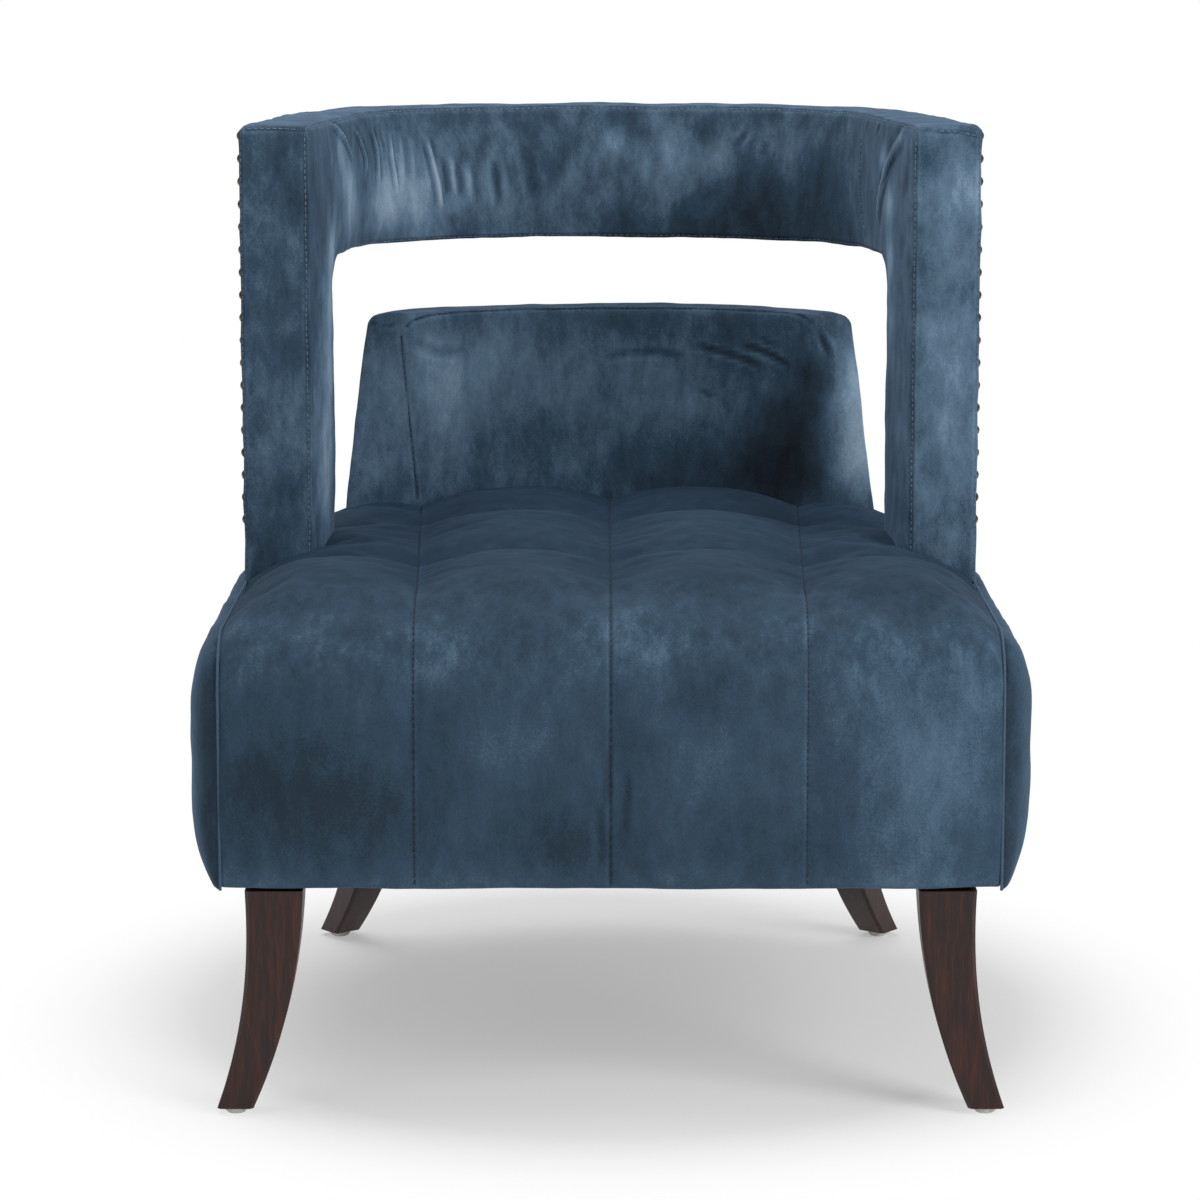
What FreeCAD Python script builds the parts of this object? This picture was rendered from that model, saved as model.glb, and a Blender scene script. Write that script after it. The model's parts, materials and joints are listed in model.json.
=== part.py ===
"""Barrel accent chair with an open back, built piece by piece in millimetres.

X runs to the sitter's left as seen from the front (the right of a front view), Y runs from the
front of the seat to the back, Z is up. Depths are first measured back from the seat's front
face; setback moves them so that the origin lies on the floor under the middle of the chair.
"""

import FreeCAD, Part

import math
import os

import Sketcher
from FreeCAD import Placement, Vector

DIMENSIONS = {
    # seat box and its sewn seat
    "seat_seam_half": 341.0,
    "seat_underside": 205.0,
    "seat_crest": 474.0,
    "seat_edge_drop": 46.0,
    "seat_front_radius": 90.0,
    "seat_edge_radius": 50.0,
    "seat_edge_setback": 6.0,
    "seat_crown": 7.0,
    "tuft_depth": 24.0,
    "valley_depth": 14.0,
    "channel_depth": 4.0,
    "tuft_row_front": 250.0,
    "tuft_row_pitch": 246.0,
    "foam_fold": 6.0,
    "foam_edge_set": 3.0,
    "seat_sections": 36.0,
    "side_puff": 29.0,
    "side_foot_puff": 8.0,
    "cover_thick": 1.5,
    "clearance": 0.3,
    # wooden frame of the seat box
    "board_thick": 18.0,
    "rail_board_height": 110.0,
    "front_board_setback": 18.0,
    "frame_back": 718.0,
    "frame_back_radius": 440.0,
    "frame_corner_radius": 250.0,
    "rear_pad_thick": 12.0,
    "block_leg": 70.0,
    "block_height": 80.0,
    "dust_inset": 14.0,
    # suspension
    "spring_count": 5.0,
    "spring_pitch": 110.0,
    "spring_wire": 3.6,
    "spring_bend": 13.0,
    "spring_run": 16.0,
    "clip_width": 16.0,
    "clip_thick": 2.0,
    "felt_thick": 6.0,
    "dust_cloth_thick": 1.0,
    # posts and top rail
    "band_thick": 63.0,
    "post_setback": 408.0,
    "post_overhang": 2.0,
    "band_taper": 7.7,
    "band_top": 852.0,
    "band_height": 131.0,
    "band_reach": 57.0,
    "band_back_radius": 420.0,
    "band_corner_radius": 220.0,
    "band_recline": 23.0,
    "band_crown": 3.0,
    "post_depth": 116.0,
    "post_sink": 28.0,
    "upright_thick": 32.0,
    "upright_rear_setback": 11.0,
    "upright_edge_setback": 15.0,
    "rib_width": 36.0,
    "rib_inset": 13.0,
    "rib_edge": 12.0,
    "rail_block_swing": 60.0,
    # lower back
    "back_window": 69.0,
    "back_panel_set": 1.0,
    "back_outer_half_top": 245.0,
    "back_outer_half_foot": 282.0,
    "back_outer_drop_top": 21.5,
    "back_outer_drop_foot": 68.7,
    "back_inner_half_top": 203.0,
    "back_inner_half_foot": 187.0,
    "back_inner_reach_top": 124.0,
    "back_inner_reach_foot": 113.0,
    "back_mid_thick_top": 53.0,
    "back_mid_thick_foot": 92.0,
    "back_crown": 5.0,
    "back_upright_width": 44.0,
    "back_upright_near": 60.0,
    "back_upright_far": 165.0,
    "back_upright_thick": 20.0,
    "back_rib_width": 26.0,
    # legs and glides
    "front_leg_inset": 46.5,
    "front_leg_splay": 36.5,
    "front_leg_setback": 30.0,
    "front_leg_rake": 4.0,
    "rear_leg_inset": 109.0,
    "rear_leg_splay": 47.0,
    "rear_leg_setback": 50.9626,
    "rear_leg_rake": 61.0,
    "rear_leg_turn": 38.0,
    "leg_top_width": 51.0,
    "leg_foot_width": 32.0,
    "leg_top_thick": 44.0,
    "leg_foot_thick": 30.0,
    "leg_edge": 3.0,
    "glide_radius": 10.0,
    "glide_height": 6.0,
    "glide_ease": 2.0,
    "bolt_radius": 4.0,
    "bolt_length": 90.0,
    "bolt_in_leg": 45.0,
    "front_bolt_depth": 42.0,
    # nail trim
    "nail_radius": 4.6,
    "nail_height": 2.6,
    "nail_shank_reach": 0.8,
    "nail_shank_length": 9.0,
    "nail_pitch": 21.0,
    "nail_edge": 9.0,
}

BLOCK_SHARES = (-1.0, -0.5, 0.0, 0.5, 1.0)
LEG_LEVEL_SHARES = (0.0, 0.2, 0.45, 0.7, 1.0)
LEG_SWEEP_SHARE = 2.2
TUFT_REST_SHARE = 0.5
CREST_OUT_SHARE = 0.77
BETWEEN_SHARE = 0.5
SIDE_SHARES = ((0.0, 0.0, 0.0), (0.4, 0.17, 0.02), (0.7, 0.36, 0.05), (0.9, 0.6, 0.11),
               (1.0, 0.9, 0.2))

doc = FreeCAD.newDocument("accent_chair")
sheet = doc.addObject("Spreadsheet::Sheet", "Dims")
for row, (alias, value) in enumerate(DIMENSIONS.items(), start=1):
    sheet.set("A%d" % row, alias)
    sheet.set("B%d" % row, str(value))
    sheet.setAlias("B%d" % row, alias)
doc.recompute()


def size(alias):
    """The value of one driving dimension, read back from the sheet."""
    return float(getattr(sheet, alias))


NAILED_LEAN = "Dims.band_recline * Dims.nail_edge / Dims.band_height"
BAND_BACK = "(Dims.frame_back + Dims.band_reach)"
BAND_FRONT = "(Dims.frame_back - Dims.post_setback)"
SETBACK = "((%s - %s + Dims.nail_height) / 2)" % (BAND_BACK, NAILED_LEAN)
band_rise = size("band_height")
nailed_lean = size("band_recline") * size("nail_edge") / band_rise
band_back = size("frame_back") + size("band_reach")
band_front = size("frame_back") - size("post_setback")
setback = (band_back - nailed_lean + size("nail_height")) / 2
thin = size("cover_thick")
gap = size("clearance")
skin = thin + gap
seam_half = size("seat_seam_half")
seat_edge_top = size("seat_crest") - size("seat_edge_drop")
pieces = []


def point(across, depth, height):
    """A point given by its place across, its depth behind the seat's front, and its height."""
    return Vector(across, depth - setback, height)


def keep(feature, label):
    """Name a finished sub-part and put it on the list to write."""
    feature.Label = label
    pieces.append(feature)
    return feature


def shaped(label, shape):
    """A sub-part whose shape is set here from the sheet's sizes."""
    feature = doc.addObject("Part::Feature", label)
    feature.Shape = shape
    feature.Placement = Placement()
    return keep(feature, label)


def mirrored(label, source):
    """The same sub-part on the other side of the chair's middle plane."""
    feature = doc.addObject("Part::Mirroring", label)
    feature.Source = source
    feature.Base = Vector()
    feature.Normal = Vector(1, 0, 0)
    return keep(feature, label)


def board(label, length, width, height, across, depth, base):
    """A straight board: a block with its sizes and its lowest corner bound to the sheet."""
    block = doc.addObject("Part::Box", label)
    block.setExpression("Length", length)
    block.setExpression("Width", width)
    block.setExpression("Height", height)
    block.setExpression("Placement.Base.x", across)
    block.setExpression("Placement.Base.y", "%s - %s" % (depth, SETBACK))
    block.setExpression("Placement.Base.z", base)
    return block


def plane_of(body, role):
    """One of a body's own origin planes."""
    return next(item for item in body.Origin.OriginFeatures if item.Role == role)


def padded(label, corner_count, along, across, height):
    """A body whose sketch, a rectangle or a right triangle at its own corner, is padded upwards.

    along, across and height are expressions of the sheet's sizes.
    """
    body = doc.addObject("PartDesign::Body", label)
    sketch = body.newObject("Sketcher::SketchObject", label + "_outline")
    sketch.AttachmentSupport = [(plane_of(body, "XY_Plane"), "")]
    sketch.MapMode = "FlatFace"
    side = size("block_leg")
    corners = [Vector(), Vector(side, 0, 0), Vector(side, side, 0), Vector(0, side, 0)]
    if corner_count == 3:
        corners.remove(corners[2])
    for i in range(corner_count):
        sketch.addGeometry(Part.LineSegment(corners[i], corners[(i + 1) % corner_count]))
    for i in range(corner_count):
        following = (i + 1) % corner_count
        sketch.addConstraint(Sketcher.Constraint("Coincident", i, 2, following, 1))
    last = corner_count - 1
    sketch.addConstraint(Sketcher.Constraint("Coincident", 0, 1, -1, 1))
    sketch.addConstraint(Sketcher.Constraint("Horizontal", 0))
    sketch.addConstraint(Sketcher.Constraint("Vertical", last))
    if corner_count == 4:
        sketch.addConstraint(Sketcher.Constraint("Vertical", 1))
        sketch.addConstraint(Sketcher.Constraint("Horizontal", 2))
    number = sketch.addConstraint(Sketcher.Constraint("DistanceX", 0, 1, 0, 2, side))
    sketch.renameConstraint(number, "along")
    number = sketch.addConstraint(Sketcher.Constraint("DistanceY", last, 2, last, 1, side))
    sketch.renameConstraint(number, "across")
    sketch.setExpression("Constraints.along", along)
    sketch.setExpression("Constraints.across", across)
    pad = body.newObject("PartDesign::Pad", label + "_pad")
    pad.Profile = sketch
    pad.setExpression("Length", height)
    body.Tip = pad
    doc.recompute()
    return body


def place(feature, across, depth, base, turn="0"):
    """Bind a sub-part's place and its turn about the vertical to the sheet."""
    feature.setExpression("Placement.Base.x", across)
    feature.setExpression("Placement.Base.y", "%s - %s" % (depth, SETBACK))
    feature.setExpression("Placement.Base.z", base)
    feature.setExpression("Placement.Rotation.Angle", turn)
    return feature


# Curved outlines in plan


def arc(start, middle, end):
    return Part.Arc(start, middle, end).toShape()


def line(start, end):
    return Part.LineSegment(start, end).toShape()


class UCurve:
    """Half of a U in plan: a straight side, a corner arc and a back arc, all tangent.

    The side passes through (half, front) and leans inwards by taper degrees. An inset moves the
    whole curve inwards at right angles, so that two insets make a band of even thickness.
    """

    def __init__(self, half, front, taper, back, back_radius, corner_radius):
        lean = math.radians(taper)
        self.front = front
        self.half = half
        self.lean = lean
        self.back_radius = back_radius
        self.corner_radius = corner_radius
        self.back_centre = back - back_radius
        inward = (-math.cos(lean), -math.sin(lean))
        onward = (-math.sin(lean), math.cos(lean))
        base_x = half + inward[0] * corner_radius
        base_y = front + inward[1] * corner_radius - self.back_centre
        reach = back_radius - corner_radius
        along = base_x * onward[0] + base_y * onward[1]
        rest = base_x ** 2 + base_y ** 2 - reach ** 2
        step = -along + math.sqrt(along ** 2 - rest)
        self.corner_x = base_x + onward[0] * step
        self.corner_y = base_y + onward[1] * step + self.back_centre
        self.swing = math.atan2(self.corner_x, self.corner_y - self.back_centre)

    def side(self, depth, inset=0.0):
        """Half width of the straight side at a depth."""
        drop = (depth - self.front) * math.tan(self.lean)
        return self.half - drop - inset / math.cos(self.lean)

    def corner(self, angle, inset=0.0):
        """A point of the corner arc; the angle is measured from straight back."""
        radius = self.corner_radius - inset
        across = self.corner_x + radius * math.sin(angle)
        return across, self.corner_y + radius * math.cos(angle)

    def rear(self, angle, inset=0.0):
        """A point of the back arc."""
        radius = self.back_radius - inset
        return radius * math.sin(angle), self.back_centre + radius * math.cos(angle)

    def depth_at(self, across, inset=0.0):
        """Depth of the back arc, or of the corner arc past its end, at a place across."""
        radius = self.back_radius - inset
        if abs(across) <= radius * math.sin(self.swing):
            return self.back_centre + math.sqrt(radius ** 2 - across ** 2)
        near = abs(across) - self.corner_x
        return self.corner_y + math.sqrt((self.corner_radius - inset) ** 2 - near ** 2)

    def tangent_depth(self):
        """Depth at which the straight side meets the corner arc."""
        return self.corner(math.pi / 2 - self.lean)[1]

    def path(self, start, inset, height, outward=1):
        """Edges from the right side's start depth round the back to the left side's."""
        quarter = math.pi / 2 - self.lean
        middle = (quarter + self.swing) / 2
        right = [(self.side(start, inset), start)]
        right.append(self.corner(quarter, inset))
        right.append(self.corner(middle, inset))
        right.append(self.corner(self.swing, inset))
        top = self.rear(0.0, inset)
        spots = [point(x, y, height) for x, y in right]
        others = [point(-x, y, height) for x, y in right]
        edges = [line(spots[0], spots[1]), arc(spots[1], spots[2], spots[3])]
        edges.append(arc(spots[3], point(top[0], top[1], height), others[3]))
        edges += [arc(others[3], others[2], others[1]), line(others[1], others[0])]
        if outward < 0:
            edges.reverse()
        return edges

    def arc_path(self, inset, height):
        """The same path from one corner arc's start to the other's, without the sides."""
        return self.path(self.front, inset, height)[1:-1]


def joined(edges):
    return Part.Wire(Part.__sortEdges__(edges))


def band_wire(curve, start, outer, inner, height):
    """A closed U outline between two insets of one curve."""
    outside = curve.path(start, outer, height)
    inside = curve.path(start, inner, height, -1)
    right_end = line(point(curve.side(start, inner), start, height),
                     point(curve.side(start, outer), start, height))
    left_end = line(point(-curve.side(start, outer), start, height),
                    point(-curve.side(start, inner), start, height))
    return joined(outside + [left_end] + inside + [right_end])


def slab(wire, thickness):
    """A flat plate: a closed outline raised by a thickness."""
    return Part.Face(wire).extrude(Vector(0, 0, thickness))


# The top rail's outline leans back with height, and its sides stay where they are

def band_curve(height):
    below = (size("band_top") - height) / band_rise
    return UCurve(seam_half + size("post_overhang"), band_front, size("band_taper"),
                  band_back - size("band_recline") * below,
                  size("band_back_radius"), size("band_corner_radius"))


def crown(height, low, high, rise):
    """How far a padded face stands out at a height between its two seams."""
    share = (height - low) / (high - low)
    return rise * 4 * share * (1 - share)


def band_solid(start, outer, inner, low, high, outer_crown=0.0, inner_crown=0.0):
    """A U band between two heights, lofted through its seams and its middle."""
    wires = []
    for height in (low, (low + high) / 2, high):
        stand = crown(height, rail_low, rail_high, 1.0)
        wires.append(band_wire(band_curve(height), start, outer - outer_crown * stand,
                               inner + inner_crown * stand, height))
    return Part.makeLoft(wires, True, False)


band_thick = size("band_thick")
post_rear = band_front + size("post_depth")
rail_high = size("band_top")
rail_low = rail_high - band_rise
post_foot = seat_edge_top - size("post_sink")


# Posts

def post_wire(height, outer, inner, front_inset, rear_inset):
    """A post's outline: the straight start of the rail's U."""
    curve = band_curve(height)
    near = band_front + front_inset
    far = post_rear - rear_inset
    corners = [point(curve.side(near, outer), near, height),
               point(curve.side(far, outer), far, height),
               point(curve.side(far, inner), far, height),
               point(curve.side(near, inner), near, height)]
    return Part.makePolygon(corners + corners[:1])


def post_solid(outer, inner, front_inset, rear_inset, low, high, inner_crown=0.0,
               outer_crown=0.0):
    """A post, or one layer of it, between two insets and two heights."""
    wires = []
    for height in (low, (low + high) / 2, high):
        stand = crown(height, post_foot, rail_high, 1.0)
        wires.append(post_wire(height, outer + outer_crown * stand, inner + inner_crown * stand,
                               front_inset, rear_inset))
    return Part.makeLoft(wires, True, False)


def left_of(shape):
    """The same shape on the photo's left, the side of negative X."""
    return shape.mirror(Vector(), Vector(1, 0, 0))


def both_sides(name, shape):
    """A pair of sub-parts: the one on the right of a front view and its mirror image."""
    feature = shaped(name + "_right", shape)
    mirrored(name + "_left", feature)
    return feature


FRAME_HALF = "(Dims.seat_seam_half - Dims.cover_thick - Dims.clearance)"
UPRIGHT_OUTER = "(%s - Dims.board_thick - 2 * Dims.clearance)" % FRAME_HALF
FRAME_BASE = "(Dims.seat_underside + Dims.clearance)"

UPRIGHT_DEPTH = "(Dims.post_depth - Dims.upright_edge_setback - Dims.upright_rear_setback)"

upright = padded("post_right", 4, "Dims.upright_thick", UPRIGHT_DEPTH,
                 "Dims.band_top - Dims.rib_edge - %s" % FRAME_BASE)
place(upright, UPRIGHT_OUTER + " - Dims.upright_thick",
      BAND_FRONT + " + Dims.upright_edge_setback", FRAME_BASE)
doc.recompute()
keep(upright, "post_right")
mirrored("post_left", upright)

post_depth = size("post_depth")
crown_rise = size("band_crown")


def nail_shank(seat, normal, stand=0.0):
    """A nail's square shank, inwards from a height above the cover's face."""
    reach = size("nail_shank_reach")
    along = Vector(0, 0, 1).cross(normal).normalize() * reach
    up = normal.cross(along)
    top = seat + normal * stand
    corners = [top + along + up, top + along - up, top - along - up, top - along + up]
    outline = Part.Face(Part.makePolygon(corners + corners[:1]))
    return outline.extrude(normal * -(stand + size("nail_shank_length")))


def nail(seat, normal):
    """A domed nail: its head stands on the cover and its shank goes in."""
    rise = size("nail_height")
    reach = size("nail_radius")
    ball = (reach ** 2 + rise ** 2) / (2 * rise)
    low = math.degrees(math.asin((ball - rise) / ball))
    head = Part.makeSphere(ball, seat - normal * (ball - rise), normal, low, 90.0, 360.0)
    return head.fuse(nail_shank(seat, normal))


def post_nail_seats():
    """Where the nails sit down the outer side of a post, close to its front edge."""
    curve = band_curve(rail_high)
    normal = Vector(math.cos(curve.lean), math.sin(curve.lean), 0)
    depth = band_front + size("nail_edge")
    low = size("seat_crest")
    high = rail_high - size("nail_edge")
    count = int((high - low) / size("nail_pitch"))
    return [(point(curve.side(depth), depth, high - i * size("nail_pitch")), normal)
            for i in range(count + 1)]


def band_spot(curve, way, place):
    """A point on the rail's outer outline: on its side, its corner or its back."""
    if way == "side":
        return curve.side(place), place
    return curve.corner(place) if way == "corner" else curve.rear(place)


def spread(start, end, pitch):
    """Evenly spaced places near one pitch apart, half a step in from both ends."""
    count = max(1, round((end - start) / pitch))
    step = (end - start) / count
    return [start + (i + BETWEEN_SHARE) * step for i in range(count)]


def rail_nail_seats(height):
    """Where the nails sit round the outside of the rail at one height, square to its face."""
    curve = band_curve(height)
    reach = size("nail_radius")
    above, below = band_curve(height + reach), band_curve(height - reach)
    pitch = size("nail_pitch")
    quarter = math.pi / 2 - curve.lean
    sides = spread(post_rear, curve.tangent_depth(), pitch * math.cos(curve.lean))
    corners = spread(curve.swing, quarter, pitch / curve.corner_radius)
    rears = spread(0.0, curve.swing, pitch / curve.back_radius)
    stops = [("side", depth, quarter) for depth in sides]
    stops += [("corner", swing, swing) for swing in corners]
    stops += [("rear", swing, swing) for swing in rears]
    seats = []
    for way, stop, swing in stops:
        across, depth = band_spot(curve, way, stop)
        high, low = band_spot(above, way, stop), band_spot(below, way, stop)
        up = Vector(high[0] - low[0], high[1] - low[1], 2 * reach).normalize()
        flat = Vector(math.sin(swing), math.cos(swing), 0)
        normal = (flat - up * flat.dot(up)).normalize()
        seats.append((point(across, depth, height), normal))
        seats.append((point(-across, depth, height), Vector(-normal.x, normal.y, normal.z)))
    return seats


def nails_at(seats):
    return Part.makeCompound([nail(*spot) for spot in seats])


def pierced(shape, seats):
    """A shape with a hole for each nail's shank, cut from clear above the face."""
    stand = size("nail_height")
    return shape.cut(Part.makeCompound([nail_shank(*spot, stand) for spot in seats]))


side_seats = post_nail_seats()
post_whole = post_solid(skin, band_thick - skin, skin, skin, post_foot, rail_high - skin,
                        crown_rise)
outer_panel = post_solid(0.0, thin, skin, 0.0, post_foot, rail_high - skin)
both_sides("post_pad", pierced(post_whole.cut(upright.Shape), side_seats))
both_sides("post_front_cover", post_solid(0.0, band_thick, 0.0, post_depth - thin, post_foot,
                                          rail_high - skin))
both_sides("post_inner_cover", post_solid(band_thick - thin, band_thick, skin, skin, post_foot,
                                          rail_high - skin, crown_rise, crown_rise))
both_sides("post_rear_cover", post_solid(skin, band_thick, post_depth - thin, 0.0, post_foot,
                                         rail_low))
both_sides("post_outer_cover", pierced(outer_panel, side_seats))
both_sides("nails", nails_at(side_seats))


# Top rail

def rib(label, base):
    """A curved plywood rib between the two uprights."""
    near = post_rear - size("upright_rear_setback") + gap
    inset = size("rib_inset")
    outline = band_wire(band_curve(base), near, inset, inset + size("rib_width"), base)
    return shaped(label, slab(outline, size("board_thick")))


rib_low = rail_low + size("rib_edge")
rib_high = rail_high - size("rib_edge") - size("board_thick")
lower_rib = rib("rail_rib_bottom", rib_low)
upper_rib = rib("rail_rib_top", rib_high)


def rail_block(swing):
    """An upright block between the ribs, at a swing from straight back."""
    base = rib_low + size("board_thick") + gap
    height = rib_high - gap - base
    curve = band_curve((rib_low + rib_high) / 2)
    inset = size("rib_inset") + size("rib_width") / 2
    spot = curve.rear(swing, inset) if abs(swing) < curve.swing else curve.corner(abs(swing), inset)
    across = math.copysign(spot[0], swing)
    width = size("rib_width")
    depth = size("board_thick")
    block = Part.makeBox(width, depth, height, Vector(-width / 2, -depth / 2, 0))
    block.rotate(Vector(), Vector(0, 0, 1), -math.degrees(swing))
    block.translate(point(across, spot[1], base))
    return block


block_swings = [math.radians(share * size("rail_block_swing")) for share in BLOCK_SHARES]
rail_blocks = shaped("rail_blocks", Part.makeCompound([rail_block(s) for s in block_swings]))

top_seats = rail_nail_seats(rail_high - size("nail_edge"))
foot_seats = rail_nail_seats(rail_low + size("nail_edge"))
rail_start = post_rear + gap
rail_whole = band_solid(rail_start, skin, band_thick - skin, rail_low + skin, rail_high - skin, 0.0,
                        crown_rise)
rail_wood = Part.makeCompound([lower_rib.Shape, upper_rib.Shape, rail_blocks.Shape])
shaped("rail_pad", pierced(rail_whole.cut(rail_wood), top_seats + foot_seats))
shaped("rail_inner_cover", band_solid(rail_start, band_thick - thin, band_thick, rail_low + skin,
                                      rail_high - skin, -crown_rise, crown_rise))
outer_band = Part.makeLoft([band_wire(band_curve(height), rail_start, 0.0, thin, height)
                            for height in (rail_low + skin, rail_high - skin)], True, True)
shaped("rail_outer_cover", pierced(outer_band, top_seats + foot_seats))
shaped("rail_top_cover", slab(band_wire(band_curve(rail_high - thin), band_front, 0.0, band_thick,
                                        rail_high - thin), thin))
shaped("rail_bottom_cover", slab(band_wire(band_curve(rail_low), rail_start, 0.0, band_thick,
                                           rail_low), thin))
shaped("nails_rail_top", nails_at(top_seats))
shaped("nails_rail_bottom", nails_at(foot_seats))


# Seat box frame

frame_half = seam_half - skin
frame_curve = UCurve(frame_half, 0.0, 0.0, size("frame_back"), size("frame_back_radius"),
                     size("frame_corner_radius"))
FRAME_TURN = ("(Dims.frame_back - Dims.frame_back_radius"
              " + sqrt((Dims.frame_back_radius - Dims.frame_corner_radius)^2"
              " - (%s - Dims.frame_corner_radius)^2))") % FRAME_HALF
BOARD_HALF = "(%s - Dims.board_thick - Dims.clearance)" % FRAME_HALF
underside = size("seat_underside")
frame_base = underside + gap
board_thick = size("board_thick")
board_height = size("rail_board_height")
board_top = frame_base + board_height
front_set = size("front_board_setback")
turn_depth = frame_curve.tangent_depth()
deck_base = board_top + size("clip_thick") + size("spring_wire") + 2 * gap
deck_top = deck_base + size("felt_thick")

front_board = board("seat_rail_front", "2 * (%s - Dims.clearance)" % BOARD_HALF,
                    "Dims.board_thick", "Dims.rail_board_height",
                    "-(%s - Dims.clearance)" % BOARD_HALF, "Dims.front_board_setback", FRAME_BASE)
keep(front_board, "seat_rail_front")
side_board = board("seat_rail_right", "Dims.board_thick",
                   FRAME_TURN + " - Dims.front_board_setback - Dims.clearance",
                   "Dims.rail_board_height", BOARD_HALF, "Dims.front_board_setback", FRAME_BASE)
keep(side_board, "seat_rail_right")
mirrored("seat_rail_left", side_board)


def arc_band(curve, outer, inner, base, height):
    """The round rear part of a U band, without its straight sides."""
    depth = curve.tangent_depth()
    outside = curve.arc_path(outer, base)
    inside = curve.arc_path(inner, base)
    ends = []
    for side in (1, -1):
        ends.append(line(point(side * curve.side(depth, outer), depth, base),
                         point(side * curve.side(depth, inner), depth, base)))
    return slab(joined(outside + inside + ends), height)


def inside_of(curve, start, inset, base, height):
    """A plate that fills a U from its start depth to the back."""
    ends = (point(-curve.side(start, inset), start, base),
            point(curve.side(start, inset), start, base))
    return slab(joined(curve.path(start, inset, base) + [line(*ends)]), height)


shaped("seat_rail_rear", arc_band(frame_curve, gap, gap + board_thick, frame_base, board_height))

front_block = padded("front_block_right", 3, "Dims.block_leg", "Dims.block_leg",
                     "Dims.block_height")
place(front_block, BOARD_HALF + " - Dims.clearance",
      "Dims.front_board_setback + Dims.board_thick + Dims.clearance", FRAME_BASE, "90")
front_block_left = doc.addObject("Part::Mirroring", "front_block_left")
front_block_left.Source = front_block
front_block_left.Normal = Vector(1, 0, 0)
doc.recompute()


# Legs

def leg_section(across, depth, height, width, thick, turn):
    """One level of a leg: a rectangle with eased corners."""
    edge = size("leg_edge")
    half_width = width / 2
    half_thick = thick / 2
    corners = []
    for sx, sy, first in ((1, 1, True), (-1, 1, False), (-1, -1, True), (1, -1, False)):
        near = Vector(sx * half_width, sy * (half_thick - edge), 0)
        far = Vector(sx * (half_width - edge), sy * half_thick, 0)
        corners += [near, far] if first else [far, near]
    wire = Part.makePolygon(corners + corners[:1])
    wire.rotate(Vector(), Vector(0, 0, 1), turn)
    wire.translate(point(across, depth, height))
    return wire


def leg_shape(side_top, side_foot, depth_top, depth_foot, turn):
    """A sabre leg: it drops straight at first and sweeps out towards its foot."""
    low = size("glide_height")
    wires = []
    for share in LEG_LEVEL_SHARES:
        sweep = (1 - share) ** LEG_SWEEP_SHARE
        width = size("leg_foot_width") + (size("leg_top_width") - size("leg_foot_width")) * share
        thick = size("leg_foot_thick") + (size("leg_top_thick") - size("leg_foot_thick")) * share
        wires.append(leg_section(side_top + (side_foot - side_top) * sweep,
                                 depth_top + (depth_foot - depth_top) * sweep,
                                 low + (leg_top - low) * share, width, thick, turn))
    return Part.makeLoft(wires, True, False)


leg_top = underside - size("dust_cloth_thick") - 2 * gap
bolt_parts = []
glide_parts = []
front_depth = size("front_leg_setback")
rear_leg_half = seam_half - size("rear_leg_inset")
rear_depth = frame_curve.depth_at(rear_leg_half) - size("rear_leg_setback")
LEG_PLACES = {
    "front": (front_depth, front_depth - size("front_leg_rake"), size("front_bolt_depth"), 0.0),
    "rear": (rear_depth, rear_depth + size("rear_leg_rake"), rear_depth, -size("rear_leg_turn")),
}
for end, (top_depth, foot_depth, bolt_depth, turn) in LEG_PLACES.items():
    top_half = seam_half - size(end + "_leg_inset")
    foot_half = top_half + size(end + "_leg_splay")
    bolt_base = leg_top - size("bolt_in_leg")
    bolt = Part.makeCylinder(size("bolt_radius"), size("bolt_length"),
                             point(top_half, bolt_depth, bolt_base))
    both_sides("leg_" + end, leg_shape(top_half, foot_half, top_depth, foot_depth, turn).cut(bolt))
    bolt_parts += [bolt, left_of(bolt)]
    for mirror in (1, -1):
        foot = point(mirror * foot_half, foot_depth, 0.0)
        rim = size("glide_radius")
        ease = size("glide_ease")
        flare = Part.makeCone(rim - ease, rim, ease, foot)
        disc = Part.makeCylinder(rim, size("glide_height") - ease, foot + Vector(0, 0, ease))
        glide_parts.append(flare.fuse(disc))
all_bolts = Part.makeCompound(bolt_parts)
shaped("leg_bolts", all_bolts)
shaped("glides", Part.makeCompound(glide_parts))


def rear_block():
    """A block inside the curved rear board, over a rear leg."""
    side = size("block_leg")
    block = Part.makeBox(side, side, size("block_height"), Vector(-side / 2, -side / 2, 0))
    block.rotate(Vector(), Vector(0, 0, 1), -size("rear_leg_turn"))
    block.translate(point(rear_leg_half, rear_depth, frame_base))
    room = inside_of(frame_curve, front_set, board_thick + 2 * gap, frame_base, board_height)
    return block.common(room)


right_blocks = Part.makeCompound([front_block.Shape.copy(), rear_block()]).cut(all_bolts)
shaped("corner_blocks", Part.makeCompound(right_blocks.Solids + left_of(right_blocks).Solids))


# Suspension

wire_radius = size("spring_wire") / 2


def spring(across):
    """A sinuous spring: straight runs across the seat joined by half turns."""
    bend = size("spring_bend")
    half_run = size("spring_run") / 2
    level = board_top + size("clip_thick") + gap + wire_radius
    start = front_set + board_thick / 2
    reach = frame_curve.depth_at(across, board_thick / 2) - start
    runs = int(reach / (2 * bend))
    edges = []
    for i in range(runs + 1):
        depth = start + i * 2 * bend
        side = 1 if i % 2 == 0 else -1
        near = point(across - side * half_run, depth, level)
        far = point(across + side * half_run, depth, level)
        edges.append(line(near, far))
        if i < runs:
            after = point(across + side * half_run, depth + 2 * bend, level)
            middle = point(across + side * (half_run + bend), depth + bend, level)
            edges.append(arc(far, middle, after))
    path = Part.Wire(edges)
    first = edges[0].Vertexes[0].Point
    ring = Part.Wire([Part.makeCircle(wire_radius, first, Vector(1, 0, 0))])
    return path.makePipeShell([ring], True, False), start, start + runs * 2 * bend


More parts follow.
